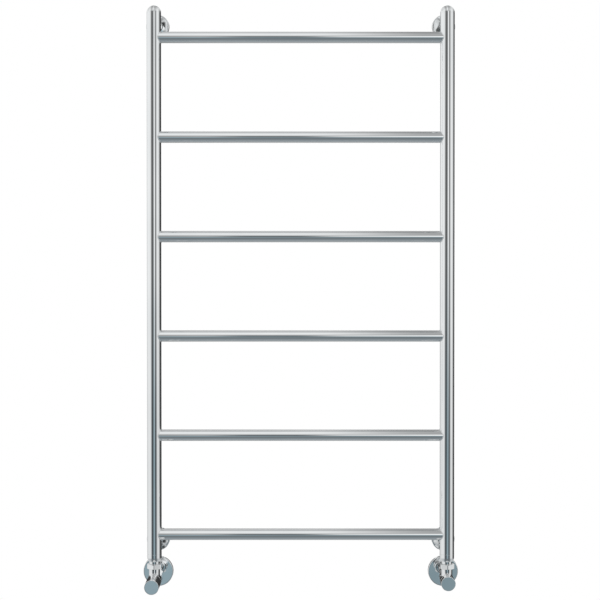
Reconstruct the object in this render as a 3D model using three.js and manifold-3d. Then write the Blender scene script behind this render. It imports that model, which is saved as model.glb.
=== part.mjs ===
// A plumbed ladder towel warmer that hangs on a wall: two round uprights joined by round rungs, held off the
// wall by four posts, and fed from below through a pair of angle valves.
//
// Sizes are millimetres. X runs along the rungs, Z is up, and the wall is the plane y = 0 with the room on
// its -Y side. The origin is on the wall, midway between the two supply pipes and level with their axes.
// Threads are plain cylinders with a clearance. The frame called "outward" has its +Y away from the wall.

import * as THREE from 'three';
import { mergeVertices } from 'three/addons/utils/BufferGeometryUtils.js';
import Module from 'manifold-3d';

const wasm = await Module();
wasm.setup();

// ---- Fits ---------------------------------------------------------------------------------------
const JOINT_GAP = 0.3;            // between faces that meet, are welded, or are screwed home
const SLIDE_CLEARANCE = 0.3;      // radial, between a rose or cap and what it slides on
const THREAD_CLEARANCE = 0.3;     // radial, between the two plain cylinders that stand for a thread
const TURN_CLEARANCE = 0.3;       // radial, between a spindle and its bore
const OVERRUN = 1;                // how far a cutter, or a piece joined to another, runs past their face

// ---- Ladder -------------------------------------------------------------------------------------
const OVERALL_WIDTH = 600;        // across the outsides of the uprights
const STAND_OFF = 80;             // wall to the axes of the uprights and rungs
const UPRIGHT_DIAMETER = 28;
const UPRIGHT_WALL = 1.5;
const RUNG_DIAMETER = 22;
const RUNG_WALL = 1.2;
const RUNG_COUNT = 6;
const RUNG_PITCH = 194;
const LOWEST_RUNG_RISE = 44.4;    // where the bottom dome begins up to the lowest rung's axis
const TOP_RUNG_DROP = 48;         // where the top dome begins down to the top rung's axis
const CAP_SPIGOT_LENGTH = 11;     // how far a top cap reaches into its upright
const CAP_SPIGOT_WALL = 1.5;
const TOP_CAP_CROWN = 5;          // metal left between the top cap's blind bore and its pole
const FOOT_RIM = 0.9;             // flat ring around the tapping in a bottom cap
const FOOT_RUN_OUT = 1.2;         // tapping left in a bottom cap above the end of the valve's tail

// ---- Air vent, on the back of the left upright --------------------------------------------------
const VENT_DROP = 2;              // below the top rung's axis
const VENT_BOSS_DIAMETER = 16;
const VENT_BOSS_LENGTH = 10;      // from the back of the upright
const VENT_PLUG_DIAMETER = 10;
const VENT_HEAD_FLATS = 14;
const VENT_HEAD_LENGTH = 5;
const BLEED_DIAMETER = 5;
const BLEED_SQUARE = 5;           // across the flats of the key square
const BLEED_SQUARE_LENGTH = 6;

// ---- Wall brackets ------------------------------------------------------------------------------
const TOP_BRACKET_RISE = 32;      // above the top rung's axis
const BOTTOM_BRACKET_DROP = 25;   // below the lowest rung's axis
const BASE_DIAMETER = 36;
const BASE_THICKNESS = 4;
const HUB_RIM = 0.9;              // metal left around the countersink in the hub's front
const HUB_REACH = 22;             // wall to the front of the hub
const POST_DIAMETER = 20;
const BRACKET_ROSE_DIAMETER = 46;
const BRACKET_ROSE_DEPTH = 8;
const WALL_SCREW_DIAMETER = 5;
const WALL_SCREW_HEAD = 9;
const WALL_SCREW_LENGTH = 50;
const WALL_SCREW_TIP = 5;
const GRUB_DIAMETER = 5;
const GRUB_OUT = 14;              // wall to the grub screw's axis
const GRUB_SOCKET = 2.5;          // across the flats of its hexagon socket
const GRUB_SOCKET_DEPTH = 1.6;

// ---- Valves: heights are above the barrel's axis, reaches are forward of the upright's axis -----
const BARREL_DIAMETER = 28;
const BARREL_BACK = 22;
const BARREL_FRONT = 15;
const CHAMBER_DIAMETER = 19;
const SEAT_BACK = 14;             // the face that the plug closes on
const SEAT_LENGTH = 6;
const SEAT_ORIFICE = 9;
const INLET_WALL = 3.2;           // metal around the pipe in the inlet's thread
const INLET_THREAD_LENGTH = 14;
const NECK_DIAMETER = 21.6;
const NECK_RISE = 23;             // up to the underside of the union nut
const NECK_THREAD_LENGTH = 4;
const NECK_BORE = 13;
const UNION_COLLAR_STEP = 1.6;    // radial, from the tail's thread out to its collar and the neck's thread
const UNION_NUT_WALL = 1.45;      // metal between the nut's thread and its flats
const UNION_NUT_LENGTH = 10;
const UNION_NUT_LIP = 3;
const CONTROL_NUT_TURN = 0;       // degrees from having a corner to the front
const LOCKSHIELD_NUT_TURN = 9;
const TAIL_THREAD_DIAMETER = 20.8;
const TAIL_SHOWING = 4.8;         // between the union nut and the upright
const TAIL_THREAD_LENGTH = 13;
const TAIL_BORE = 13;
const PIPE_DIAMETER = 15;
const PIPE_WALL = 1;
const COMPRESSION_NUT_WALL = 1.2; // metal between the nut's thread and its flats
const COMPRESSION_NUT_LIP = 3;    // the part of the nut that presses on the olive
const OLIVE_LENGTH = 3.4;
const OLIVE_THICKNESS = 2.2;
const VALVE_ROSE_DIAMETER = 60;
const VALVE_ROSE_DEPTH = 7;
const ROSE_SHEET = 1.2;           // thickness of all the roses
const ROSE_EDGE = 1.8;            // radius round the front edge of all the roses

// ---- Headwork -----------------------------------------------------------------------------------
const BONNET_ENTRY = 13;          // how far the bonnet is screwed into the barrel
const BONNET_CORNER_CLEARANCE = 0.65; // radial, from the flange's corners to the skirt of a knob or cap
const BONNET_FLANGE_LENGTH = 3;
const BONNET_NECK_DIAMETER = 15;
const BONNET_NECK_LENGTH = 6.7;
const GUIDE_DEPTH = 9;            // rear bore of the bonnet, in which the plug slides
const SPINDLE_DIAMETER = 6;
const SPINDLE_THREAD_DIAMETER = 5;
const SPINDLE_THREAD_LENGTH = 11.7;
const SPINDLE_COLLAR_DIAMETER = 9.4;
const SPINDLE_COLLAR_LENGTH = 1.5;
const SEAL_SECTION = 1.4;         // diameter of the spindle seal's own section
const SEAL_INSET = 3;             // front of the bonnet back to the seal's groove
const PLUG_DIAMETER = 14.4;
const PLUG_FACE_LENGTH = 3.2;
const PLUG_STEM_DIAMETER = 10;
const PLUG_STEM_LENGTH = 14.5;
const PLUG_BORE_DEPTH = 11;
const HEAD_DIAMETER = 28;
const HEAD_BACK = 16;             // rear edge of the knob and the cap
const HEAD_SKIRT_WALL = 1.8;
const HEAD_EDGE = 0.8;            // bevel round the front edge of the knob and the cap
const KNOB_LENGTH = 43.6;
const KNOB_SKIRT_DEPTH = 11;
const KNOB_SPINDLE_DEPTH = 11;    // how far the spindle reaches into the knob's hub
const KNOB_SCREW_DIAMETER = 4;
const KNOB_SCREW_INSET = 6;       // hub's rear face to the screw's axis
const CAP_LENGTH = 15;
const CAP_SLEEVE_WALL = 1.3;      // ring that grips the bonnet's neck
const CAP_SLEEVE_LENGTH = 8;
const SLOT_WIDTH = 1.2;           // screwdriver slot in the lockshield spindle
const SLOT_DEPTH = 2;

// ---- Facets: multiples of four, so that every round reaches its full width across both of its axes
const TUBE_SIDES = 20;
const SMALL_SIDES = 12;
const FINE_SIDES = 8;
const DISC_SIDES = 24;
const DOME_STEPS = 4;

// ---- Derived places -----------------------------------------------------------------------------
const uprightRadius = UPRIGHT_DIAMETER / 2;
const uprightX = OVERALL_WIDTH / 2 - uprightRadius;
const tappingRadius = TAIL_THREAD_DIAMETER / 2 + THREAD_CLEARANCE;
const unionThreadRadius = TAIL_THREAD_DIAMETER / 2 + UNION_COLLAR_STEP;
const footRimRadius = tappingRadius + FOOT_RIM;
const footDomeDrop = Math.sqrt(uprightRadius ** 2 - footRimRadius ** 2);
const footFace = NECK_RISE + UNION_NUT_LENGTH + TAIL_SHOWING;
const bottomDome = footFace + footDomeDrop;
const footTop = footFace + TAIL_THREAD_LENGTH + FOOT_RUN_OUT;
const lowestRung = bottomDome + LOWEST_RUNG_RISE;
const topRung = lowestRung + (RUNG_COUNT - 1) * RUNG_PITCH;
const topDome = topRung + TOP_RUNG_DROP;
const ventHeight = topRung - VENT_DROP;
const bonnetFront = BARREL_FRONT + JOINT_GAP + BONNET_FLANGE_LENGTH + BONNET_NECK_LENGTH;
const bonnetBack = BARREL_FRONT - BONNET_ENTRY;
const guideFront = bonnetBack + GUIDE_DEPTH;
const boltHoleRadius = WALL_SCREW_DIAMETER / 2 + JOINT_GAP;
const sinkRadius = WALL_SCREW_HEAD / 2 + 2 * JOINT_GAP;
const hubRadius = sinkRadius + HUB_RIM;
const pipeSocketRadius = PIPE_DIAMETER / 2 + JOINT_GAP;
const inletThreadRadius = pipeSocketRadius + INLET_WALL;
const guideRadius = PLUG_STEM_DIAMETER / 2 + SLIDE_CLEARANCE;
const headBoreRadius = HEAD_DIAMETER / 2 - HEAD_SKIRT_WALL;
const inletBack = -BARREL_BACK - INLET_THREAD_LENGTH;
const socketEnd = -SEAT_BACK - SEAT_LENGTH;
const oliveBack = inletBack - JOINT_GAP - OLIVE_LENGTH;

// ---- Shape helpers ------------------------------------------------------------------------------

/** Profile points [radius, height] turned about +Y; the profile ends on the axis or is closed here. */
function turned(profile, sides) {
  const points = profile.map(([radius, height]) => new THREE.Vector2(radius, height));
  const onAxis = points[0].x === 0 && points[points.length - 1].x === 0;
  if (THREE.ShapeUtils.area(points) < 0) points.reverse();
  if (!onAxis) points.push(points[0].clone());
  return new THREE.LatheGeometry(points, sides);
}

/** Points of a quarter arc about [radius, height], from one angle to another in degrees. */
function arc([radius, height], size, fromDegrees, toDegrees, steps) {
  return Array.from({ length: steps + 1 }, (_, step) => {
    const angle = THREE.MathUtils.degToRad(fromDegrees + ((toDegrees - fromDegrees) * step) / steps);
    const reach = Math.abs(Math.cos(angle)) < 1e-9 ? 0 : Math.cos(angle) * size;
    return [radius + reach, height + Math.sin(angle) * size];
  });
}

/** Cylinder on +Y between two heights; six sides make a hexagon bar of that corner radius. */
function bar(radius, from, to, sides) {
  return new THREE.CylinderGeometry(radius, radius, to - from, sides).translate(0, (from + to) / 2, 0);
}

/** Hexagon bar on +Y, `flats` across, its end corners bevelled, with a corner to +Z before it is turned. */
function hexagonBar(flats, from, to, turnDegrees = 0) {
  const corner = flats / Math.sqrt(3);
  const blank = bar(corner, from, to, 6).rotateY(THREE.MathUtils.degToRad(turnDegrees));
  const bevel = (corner - flats / 2) / 2;
  const rounded = turned([
    [0, from],
    [flats / 2, from],
    [corner * 1.02, from + bevel],
    [corner * 1.02, to - bevel],
    [flats / 2, to],
    [0, to],
  ], TUBE_SIDES);
  return common(blank, rounded);
}

/** Turns a shape that stands on +Y so that it stands on +Z. */
function upwards(geometry) {
  return geometry.rotateX(Math.PI / 2);
}

/** Turns a shape that stands on +Y so that it points down -Z. */
function downwards(geometry) {
  return geometry.rotateX(-Math.PI / 2);
}

/** Turns a shape that stands on +Y so that it lies on +X. */
function sideways(geometry) {
  return geometry.rotateZ(-Math.PI / 2);
}

function toSolid(geometry) {
  const bare = geometry.clone();
  bare.deleteAttribute('normal');
  bare.deleteAttribute('uv');
  const merged = mergeVertices(bare, 1e-4);
  const corners = merged.index.array;
  const kept = [];
  for (let i = 0; i < corners.length; i += 3) {
    const [a, b, c] = corners.slice(i, i + 3);
    if (a !== b && b !== c && c !== a) kept.push(a, b, c);
  }
  return new wasm.Manifold(new wasm.Mesh({
    numProp: 3,
    vertProperties: new Float32Array(merged.attributes.position.array),
    triVerts: new Uint32Array(kept),
  }));
}

function toGeometry(solid) {
  const { vertProperties, triVerts } = solid.getMesh();
  const geometry = new THREE.BufferGeometry();
  geometry.setAttribute('position', new THREE.BufferAttribute(vertProperties, 3));
  geometry.setIndex(new THREE.BufferAttribute(triVerts, 1));
  geometry.computeVertexNormals();
  return geometry;
}

function cut(geometry, ...tools) {
  return toGeometry(tools.reduce((body, tool) => body.subtract(toSolid(tool)), toSolid(geometry)));
}

function joined(...pieces) {
  const [first, ...rest] = pieces.map(toSolid);
  return toGeometry(rest.reduce((body, piece) => body.add(piece), first));
}

function common(a, b) {
  return toGeometry(toSolid(a).intersect(toSolid(b)));
}

// ---- Finishes -----------------------------------------------------------------------------------
const FINISHES = {
  chrome: { color: 0xd9dee0, roughness: 0.08, metalness: 1 },
  zincSteel: { color: 0xaeb3b6, roughness: 0.4, metalness: 1 },
  stainless: { color: 0xbfc3c4, roughness: 0.3, metalness: 1 },
  brass: { color: 0xc7a256, roughness: 0.32, metalness: 1 },
  copper: { color: 0xb87350, roughness: 0.3, metalness: 1 },
  rubber: { color: 0x17181a, roughness: 0.75, metalness: 0 },
};

/** Adds a named mesh with a material of its own to `parent`. */
function place(parent, name, geometry, finish) {
  const mesh = new THREE.Mesh(geometry, new THREE.MeshStandardMaterial(FINISHES[finish]));
  mesh.name = name;
  parent.add(mesh);
  return mesh;
}

// ---- Ladder -------------------------------------------------------------------------------------

/** The space that an upright fills, as a cutter that leaves a joint gap around it. */
function uprightCutter(length) {
  return upwards(bar(uprightRadius + JOINT_GAP, -length / 2, length / 2, TUBE_SIDES));
}

/** Tube between the end caps, with a water way to each rung on its +X side. */
function upright(hasVent) {
  const innerRadius = uprightRadius - UPRIGHT_WALL;
  const from = footTop + JOINT_GAP;
  const to = topDome - JOINT_GAP;
  const tube = upwards(turned([
    [innerRadius, from],
    [uprightRadius, from],
    [uprightRadius, to],
    [innerRadius, to],
  ], TUBE_SIDES));
  const waterWay = RUNG_DIAMETER / 2 - RUNG_WALL;
  const holes = Array.from({ length: RUNG_COUNT }, (_, index) => {
    const hole = sideways(bar(waterWay, 0, UPRIGHT_DIAMETER, SMALL_SIDES));
    return hole.translate(0, 0, lowestRung + index * RUNG_PITCH);
  });
  if (hasVent) {
    const ventHole = bar(VENT_PLUG_DIAMETER / 2 + THREAD_CLEARANCE, 0, UPRIGHT_DIAMETER, FINE_SIDES);
    holes.push(ventHole.translate(0, 0, ventHeight));
  }
  return cut(tube, ...holes);
}

/** Open tube whose two ends are coped to sit on the uprights. */
function rung() {
  const radius = RUNG_DIAMETER / 2;
  const tube = sideways(turned([
    [radius - RUNG_WALL, -uprightX],
    [radius, -uprightX],
    [radius, uprightX],
    [radius - RUNG_WALL, uprightX],
  ], TUBE_SIDES));
  const ends = [-1, 1].map((side) => uprightCutter(2 * UPRIGHT_DIAMETER).translate(side * uprightX, 0, 0));
  return cut(tube, ...ends);
}

/** Domed cap with a spigot inside the head of an upright; its own origin is the centre of the dome. */
function topCap() {
  const spigot = uprightRadius - UPRIGHT_WALL - JOINT_GAP;
  const bore = spigot - CAP_SPIGOT_WALL;
  return upwards(turned([
    [0, uprightRadius - TOP_CAP_CROWN],
    [bore / 2, uprightRadius - TOP_CAP_CROWN],
    [bore, 0],
    [bore, -CAP_SPIGOT_LENGTH],
    [spigot, -CAP_SPIGOT_LENGTH],
    [spigot, 0],
    ...arc([0, 0], uprightRadius, 0, 90, DOME_STEPS),
  ], TUBE_SIDES));
}

/** Domed foot, welded under an upright and tapped for the valve's tail. */
function bottomCap() {
  const rimAngle = THREE.MathUtils.radToDeg(Math.asin(footDomeDrop / uprightRadius));
  return upwards(turned([
    [tappingRadius, footFace],
    ...arc([0, bottomDome], uprightRadius, -rimAngle, 0, DOME_STEPS - 1),
    [uprightRadius, footTop],
    [tappingRadius, footTop],
  ], TUBE_SIDES));
}

function ladder() {
  const group = new THREE.Group();
  group.position.y = -STAND_OFF;
  for (const [side, x] of [['left', -uprightX], ['right', uprightX]]) {
    const tube = place(group, `upright_${side}`, upright(side === 'left'), 'chrome');
    tube.position.x = x;
    tube.rotation.z = x < 0 ? 0 : Math.PI;
    place(group, `top_cap_${side}`, topCap(), 'chrome').position.set(x, 0, topDome);
    place(group, `bottom_cap_${side}`, bottomCap(), 'chrome').position.x = x;
  }
  for (let index = 0; index < RUNG_COUNT; index += 1) {
    const height = lowestRung + index * RUNG_PITCH;
    place(group, `rung_${index + 1}`, rung(), 'chrome').position.z = height;
  }
  return group;
}

// ---- Air vent: its own origin is on the upright's axis, and it points back at the wall along +Y

function ventBoss() {
  const bore = VENT_PLUG_DIAMETER / 2 + THREAD_CLEARANCE;
  const collar = turned([
    [bore, 0],
    [VENT_BOSS_DIAMETER / 2, 0],
    [VENT_BOSS_DIAMETER / 2, uprightRadius + VENT_BOSS_LENGTH],
    [bore, uprightRadius + VENT_BOSS_LENGTH],
  ], SMALL_SIDES);
  return cut(collar, uprightCutter(2 * UPRIGHT_DIAMETER));
}

function ventPlug() {
  const seat = uprightRadius + VENT_BOSS_LENGTH + JOINT_GAP;
  const head = hexagonBar(VENT_HEAD_FLATS, seat, seat + VENT_HEAD_LENGTH);
  const shank = bar(VENT_PLUG_DIAMETER / 2, uprightRadius, seat + OVERRUN, SMALL_SIDES);
  const bore = bar(BLEED_DIAMETER / 2 + THREAD_CLEARANCE, 0, 2 * seat, FINE_SIDES);
  return cut(joined(head, shank), bore);
}

function bleedScrew() {
  const headFrom = uprightRadius + VENT_BOSS_LENGTH + VENT_HEAD_LENGTH + 2 * JOINT_GAP;
  const shank = bar(BLEED_DIAMETER / 2, uprightRadius, headFrom + OVERRUN, FINE_SIDES);
  const square = bar(BLEED_SQUARE / Math.SQRT2, headFrom, headFrom + BLEED_SQUARE_LENGTH, 4);
  return joined(shank, square.rotateY(Math.PI / 4));
}

function airVent() {
  const group = new THREE.Group();
  group.position.set(-uprightX, -STAND_OFF, ventHeight);
  place(group, 'vent_boss', ventBoss(), 'chrome');
  place(group, 'vent_plug', ventPlug(), 'chrome');
  place(group, 'bleed_screw', bleedScrew(), 'brass');
  return group;
}

// ---- Wall brackets, in the outward frame with the origin on the wall ----------------------------

/** Pressed cover cup that slides on a round of `innerDiameter`, its rim on the wall. */
function rose(diameter, depth, innerDiameter) {
  const radius = diameter / 2;
  const bore = innerDiameter / 2 + SLIDE_CLEARANCE;
  const inside = radius - ROSE_SHEET;
  return turned([
    [inside, 0],
    [radius, 0],
    ...arc([radius - ROSE_EDGE, depth - ROSE_EDGE], ROSE_EDGE, 0, 90, 2),
    [bore, depth],
    [bore, depth - ROSE_SHEET],
    [inside, depth - ROSE_SHEET],
  ], DISC_SIDES);
}

/** Wall plate with the hub that the post slips over, countersunk at the hub's front. */
function bracketBase() {
  return turned([
    [boltHoleRadius, 0],
    [BASE_DIAMETER / 2, 0],
    [BASE_DIAMETER / 2, BASE_THICKNESS],
    [hubRadius, BASE_THICKNESS],
    [hubRadius, HUB_REACH],
    [sinkRadius, HUB_REACH],
    [boltHoleRadius, HUB_REACH - (sinkRadius - boltHoleRadius)],
  ], SMALL_SIDES);
}

function wallScrew() {
  const head = WALL_SCREW_HEAD / 2;
  const shank = WALL_SCREW_DIAMETER / 2;
  const top = HUB_REACH - JOINT_GAP;
  const tip = top - WALL_SCREW_LENGTH;
  return turned([
    [0, tip],
    [shank, tip + WALL_SCREW_TIP],
    [shank, top - (head - shank)],
    [head, top],
    [0, top],
  ], FINE_SIDES);
}

/** Post bored to fit over the hub, coped to the upright, with a hole below for its grub screw. */
function bracketPost() {
  const radius = POST_DIAMETER / 2;
  const bore = hubRadius + SLIDE_CLEARANCE;
  const boreEnd = HUB_REACH + 2 * JOINT_GAP;
  const post = turned([
    [0, boreEnd],
    [bore, boreEnd],
    [bore, BASE_THICKNESS + JOINT_GAP],
    [radius, BASE_THICKNESS + JOINT_GAP],
    [radius, STAND_OFF - uprightRadius / 2],
    [0, STAND_OFF - uprightRadius / 2],
  ], TUBE_SIDES);
  const grubHole = downwards(bar(GRUB_DIAMETER / 2 + THREAD_CLEARANCE, 0, POST_DIAMETER, FINE_SIDES));
  return cut(
    post,
    uprightCutter(2 * POST_DIAMETER + UPRIGHT_DIAMETER).translate(0, STAND_OFF, 0),
    grubHole.translate(0, GRUB_OUT, 0),
  );
}

/** Socket set screw from `from` to `to` below its own origin. */
function setScrew(diameter, from, to) {
  const screw = bar(diameter / 2, from, to, FINE_SIDES);
  const socket = bar(GRUB_SOCKET / Math.sqrt(3), to - GRUB_SOCKET_DEPTH, to + OVERRUN, 6);
  return downwards(cut(screw, socket));
}

function bracket(name, x, height) {
  const group = new THREE.Group();
  group.position.set(x, 0, height);
  group.rotation.z = Math.PI;
  const grubFrom = hubRadius + JOINT_GAP;
  const grubTo = POST_DIAMETER / 2 - JOINT_GAP;
  place(group, `bracket_base_${name}`, bracketBase(), 'zincSteel');
  place(group, `bracket_screw_${name}`, wallScrew(), 'zincSteel');
  place(group, `bracket_post_${name}`, bracketPost(), 'chrome');
  place(group, `bracket_grub_${name}`, setScrew(GRUB_DIAMETER, grubFrom, grubTo), 'stainless')
    .position.y = GRUB_OUT;
  const cover = rose(BRACKET_ROSE_DIAMETER, BRACKET_ROSE_DEPTH, POST_DIAMETER);
  place(group, `bracket_rose_${name}`, cover, 'chrome');
  return group;
}

function brackets() {
  const group = new THREE.Group();
  const heights = [['top', topRung + TOP_BRACKET_RISE], ['bottom', lowestRung - BOTTOM_BRACKET_DROP]];
  for (const [level, height] of heights) {
    group.add(bracket(`${level}_left`, -uprightX, height));
    group.add(bracket(`${level}_right`, uprightX, height));
  }
  return group;
}

// ---- Valves, in the outward frame with the origin where the barrel's axis meets the upright's

/** Angle body: a barrel along the pipe's axis with a neck that rises from it under the upright. */
function valveBody() {
  const threadTop = NECK_RISE + JOINT_GAP + NECK_THREAD_LENGTH;
  const edge = ROSE_EDGE / 2;
  const barrel = turned([
    [0, inletBack],
    [inletThreadRadius, inletBack],
    [inletThreadRadius, -BARREL_BACK],
    [BARREL_DIAMETER / 2 - edge, -BARREL_BACK],
    [BARREL_DIAMETER / 2, -BARREL_BACK + edge],
    [BARREL_DIAMETER / 2, BARREL_FRONT],
    [0, BARREL_FRONT],
  ], TUBE_SIDES);
  const neck = upwards(turned([
    [0, 0],
    [NECK_DIAMETER / 2, 0],
    [NECK_DIAMETER / 2, NECK_RISE],
    [unionThreadRadius, NECK_RISE + JOINT_GAP],
    [unionThreadRadius, threadTop],
    [0, threadTop],
  ], TUBE_SIDES));
  return cut(
    joined(barrel, neck),
    bar(pipeSocketRadius, inletBack - OVERRUN, socketEnd, SMALL_SIDES),
    bar(SEAT_ORIFICE / 2, socketEnd - OVERRUN, -SEAT_BACK + OVERRUN, SMALL_SIDES),
    bar(CHAMBER_DIAMETER / 2, -SEAT_BACK, BARREL_FRONT + OVERRUN, TUBE_SIDES),
    upwards(bar(NECK_BORE / 2, 0, threadTop + OVERRUN, SMALL_SIDES)),
  );
}

/** Union tail: a collar held by the nut, then the thread that enters the upright's foot. */
function unionTail() {
  const collarFrom = NECK_RISE + NECK_THREAD_LENGTH + 2 * JOINT_GAP;
  const collarTo = NECK_RISE + UNION_NUT_LENGTH - UNION_NUT_LIP - JOINT_GAP;
  const thread = TAIL_THREAD_DIAMETER / 2;
  return upwards(turned([
    [TAIL_BORE / 2, collarFrom],
    [unionThreadRadius, collarFrom],
    [unionThreadRadius, collarTo],
    [thread, collarTo],
    [thread, footFace + TAIL_THREAD_LENGTH],
    [TAIL_BORE / 2, footFace + TAIL_THREAD_LENGTH],
  ], TUBE_SIDES));
}

function unionNut(turnDegrees) {
  const top = NECK_RISE + UNION_NUT_LENGTH;
  const threadRadius = unionThreadRadius + THREAD_CLEARANCE;
  const blank = hexagonBar(2 * (threadRadius + UNION_NUT_WALL), NECK_RISE, top, turnDegrees);
  const threadBore = bar(threadRadius, NECK_RISE - OVERRUN, top - UNION_NUT_LIP, TUBE_SIDES);
  const lipBore = bar(TAIL_THREAD_DIAMETER / 2 + SLIDE_CLEARANCE, NECK_RISE, top + OVERRUN, TUBE_SIDES);
  return upwards(cut(blank, threadBore, lipBore));
}

/** Hexagon nut over the barrel's inlet thread, which squeezes the olive onto the pipe. */
function compressionNut() {
  const to = -BARREL_BACK - JOINT_GAP;
  const lipFront = oliveBack - JOINT_GAP;
  const from = lipFront - COMPRESSION_NUT_LIP;
  const threadRadius = inletThreadRadius + THREAD_CLEARANCE;
  const blank = hexagonBar(2 * (threadRadius + COMPRESSION_NUT_WALL), from, to);
  const pipeBore = bar(pipeSocketRadius, from - OVERRUN, to, SMALL_SIDES);
  const threadBore = bar(threadRadius, lipFront, to + OVERRUN, TUBE_SIDES);
  return cut(blank, pipeBore, threadBore);
}

/** Barrel-shaped ring between the nut's lip and the end of the inlet thread. */
function olive() {
  const front = oliveBack + OLIVE_LENGTH;
  const edge = pipeSocketRadius + OLIVE_THICKNESS / 3;
  return turned([
    [pipeSocketRadius, oliveBack],
    [edge, oliveBack],
    [pipeSocketRadius + OLIVE_THICKNESS, (oliveBack + front) / 2],
    [edge, front],
    [pipeSocketRadius, front],
  ], SMALL_SIDES);
}

/** Pipe stub from the face of the wall to the stop in the barrel. */
function supplyPipe() {
  const outer = PIPE_DIAMETER / 2;
  const end = socketEnd - JOINT_GAP;
  return turned([
    [outer - PIPE_WALL, -STAND_OFF],
    [outer, -STAND_OFF],
    [outer, end],
    [outer - PIPE_WALL, end],
  ], SMALL_SIDES);
}

/** Headwork screwed into the barrel: guides the plug behind and carries the spindle in front. */
function bonnet() {
  const thread = CHAMBER_DIAMETER / 2 - THREAD_CLEARANCE;
  const flangeBack = BARREL_FRONT + JOINT_GAP;
  const spindleBore = SPINDLE_DIAMETER / 2 + TURN_CLEARANCE;
  const grooveFront = bonnetFront - SEAL_INSET;
  const grooveBack = grooveFront - SEAL_SECTION - 2 * JOINT_GAP;
  const groove = spindleBore + SEAL_SECTION + JOINT_GAP;
  const core = turned([
    [guideRadius, bonnetBack],
    [thread, bonnetBack],
    [thread, flangeBack + OVERRUN],
    [BONNET_NECK_DIAMETER / 2, flangeBack + OVERRUN],
    [BONNET_NECK_DIAMETER / 2, bonnetFront],
    [spindleBore, bonnetFront],
    [spindleBore, grooveFront],
    [groove, grooveFront],
    [groove, grooveBack],
    [spindleBore, grooveBack],
    [spindleBore, guideFront],
    [guideRadius, guideFront],
  ], SMALL_SIDES);
  const flats = (headBoreRadius - BONNET_CORNER_CLEARANCE) * Math.sqrt(3);
  const flange = cut(
    hexagonBar(flats, flangeBack, flangeBack + BONNET_FLANGE_LENGTH),
    bar(BONNET_NECK_DIAMETER / 2 - OVERRUN, flangeBack - OVERRUN, bonnetFront, SMALL_SIDES),
  );
  return joined(core, flange);
}

/** Turning spindle: thread behind, thrust collar, then a shaft that ends at `front`. */
function spindle(front) {
  const collarFront = guideFront - JOINT_GAP;
  const collarBack = collarFront - SPINDLE_COLLAR_LENGTH;
  return turned([
    [0, collarBack - SPINDLE_THREAD_LENGTH],
    [SPINDLE_THREAD_DIAMETER / 2, collarBack - SPINDLE_THREAD_LENGTH],
    [SPINDLE_THREAD_DIAMETER / 2, collarBack],
    [SPINDLE_COLLAR_DIAMETER / 2, collarBack],
    [SPINDLE_COLLAR_DIAMETER / 2, collarFront],
    [SPINDLE_DIAMETER / 2, collarFront],
    [SPINDLE_DIAMETER / 2, front],
    [0, front],
  ], FINE_SIDES);
}

function spindleSeal() {
  const section = SEAL_SECTION / 2;
  const middle = SPINDLE_DIAMETER / 2 + TURN_CLEARANCE + section;
  const ring = arc([middle, 0], section, 0, 300, 5);
  return turned(ring, SMALL_SIDES)
    .translate(0, bonnetFront - SEAL_INSET - JOINT_GAP - section, 0);
}

/** Closing plug, drawn along its bore by the spindle's thread; it rests just off the seat. */
function plug() {
  const back = -SEAT_BACK + JOINT_GAP;
  const faceFront = back + PLUG_FACE_LENGTH;
  const front = faceFront + PLUG_STEM_LENGTH;
  const bore = SPINDLE_THREAD_DIAMETER / 2 + THREAD_CLEARANCE;
  return turned([
    [0, back],
    [PLUG_DIAMETER / 2, back],
    [PLUG_DIAMETER / 2, faceFront],
    [PLUG_STEM_DIAMETER / 2, faceFront],
    [PLUG_STEM_DIAMETER / 2, front],
    [bore, front],
    [bore, front - PLUG_BORE_DEPTH],
    [0, front - PLUG_BORE_DEPTH],
  ], SMALL_SIDES);
}

/** Plain round knob: a skirt over the bonnet, then a solid hub bored for the spindle. */
function controlKnob() {
  const outer = HEAD_DIAMETER / 2;
  const hubBack = HEAD_BACK + KNOB_SKIRT_DEPTH;
  const front = HEAD_BACK + KNOB_LENGTH;
  const bore = SPINDLE_DIAMETER / 2 + JOINT_GAP;
  const boreEnd = hubBack + KNOB_SPINDLE_DEPTH + JOINT_GAP;
  const knob = turned([
    [0, boreEnd],
    [bore, boreEnd],
    [bore, hubBack],
    [headBoreRadius, hubBack],
    [headBoreRadius, HEAD_BACK],
    [outer, HEAD_BACK],
    [outer, front - HEAD_EDGE],
    [outer - HEAD_EDGE, front],
    [0, front],
  ], TUBE_SIDES);
  const screwHole = downwards(bar(KNOB_SCREW_DIAMETER / 2 + THREAD_CLEARANCE, 0, HEAD_DIAMETER, FINE_SIDES));
  return cut(knob, screwHole.translate(0, hubBack + KNOB_SCREW_INSET, 0));
}

/** Push-on cap: a plain cup with a sleeve inside that grips the bonnet's neck. */
function lockshieldCap() {
  const outer = HEAD_DIAMETER / 2;
  const front = HEAD_BACK + CAP_LENGTH;
  const inside = front - HEAD_SKIRT_WALL;
  const sleeve = BONNET_NECK_DIAMETER / 2 + SLIDE_CLEARANCE;
  return turned([
    [0, inside],
    [sleeve, inside],
    [sleeve, inside - CAP_SLEEVE_LENGTH],
    [sleeve + CAP_SLEEVE_WALL, inside - CAP_SLEEVE_LENGTH],
    [sleeve + CAP_SLEEVE_WALL, inside],
    [headBoreRadius, inside],
    [headBoreRadius, HEAD_BACK],
    [outer, HEAD_BACK],
    [outer, front - HEAD_EDGE],
    [outer - HEAD_EDGE, front],
    [0, front],
  ], TUBE_SIDES);
}

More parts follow.
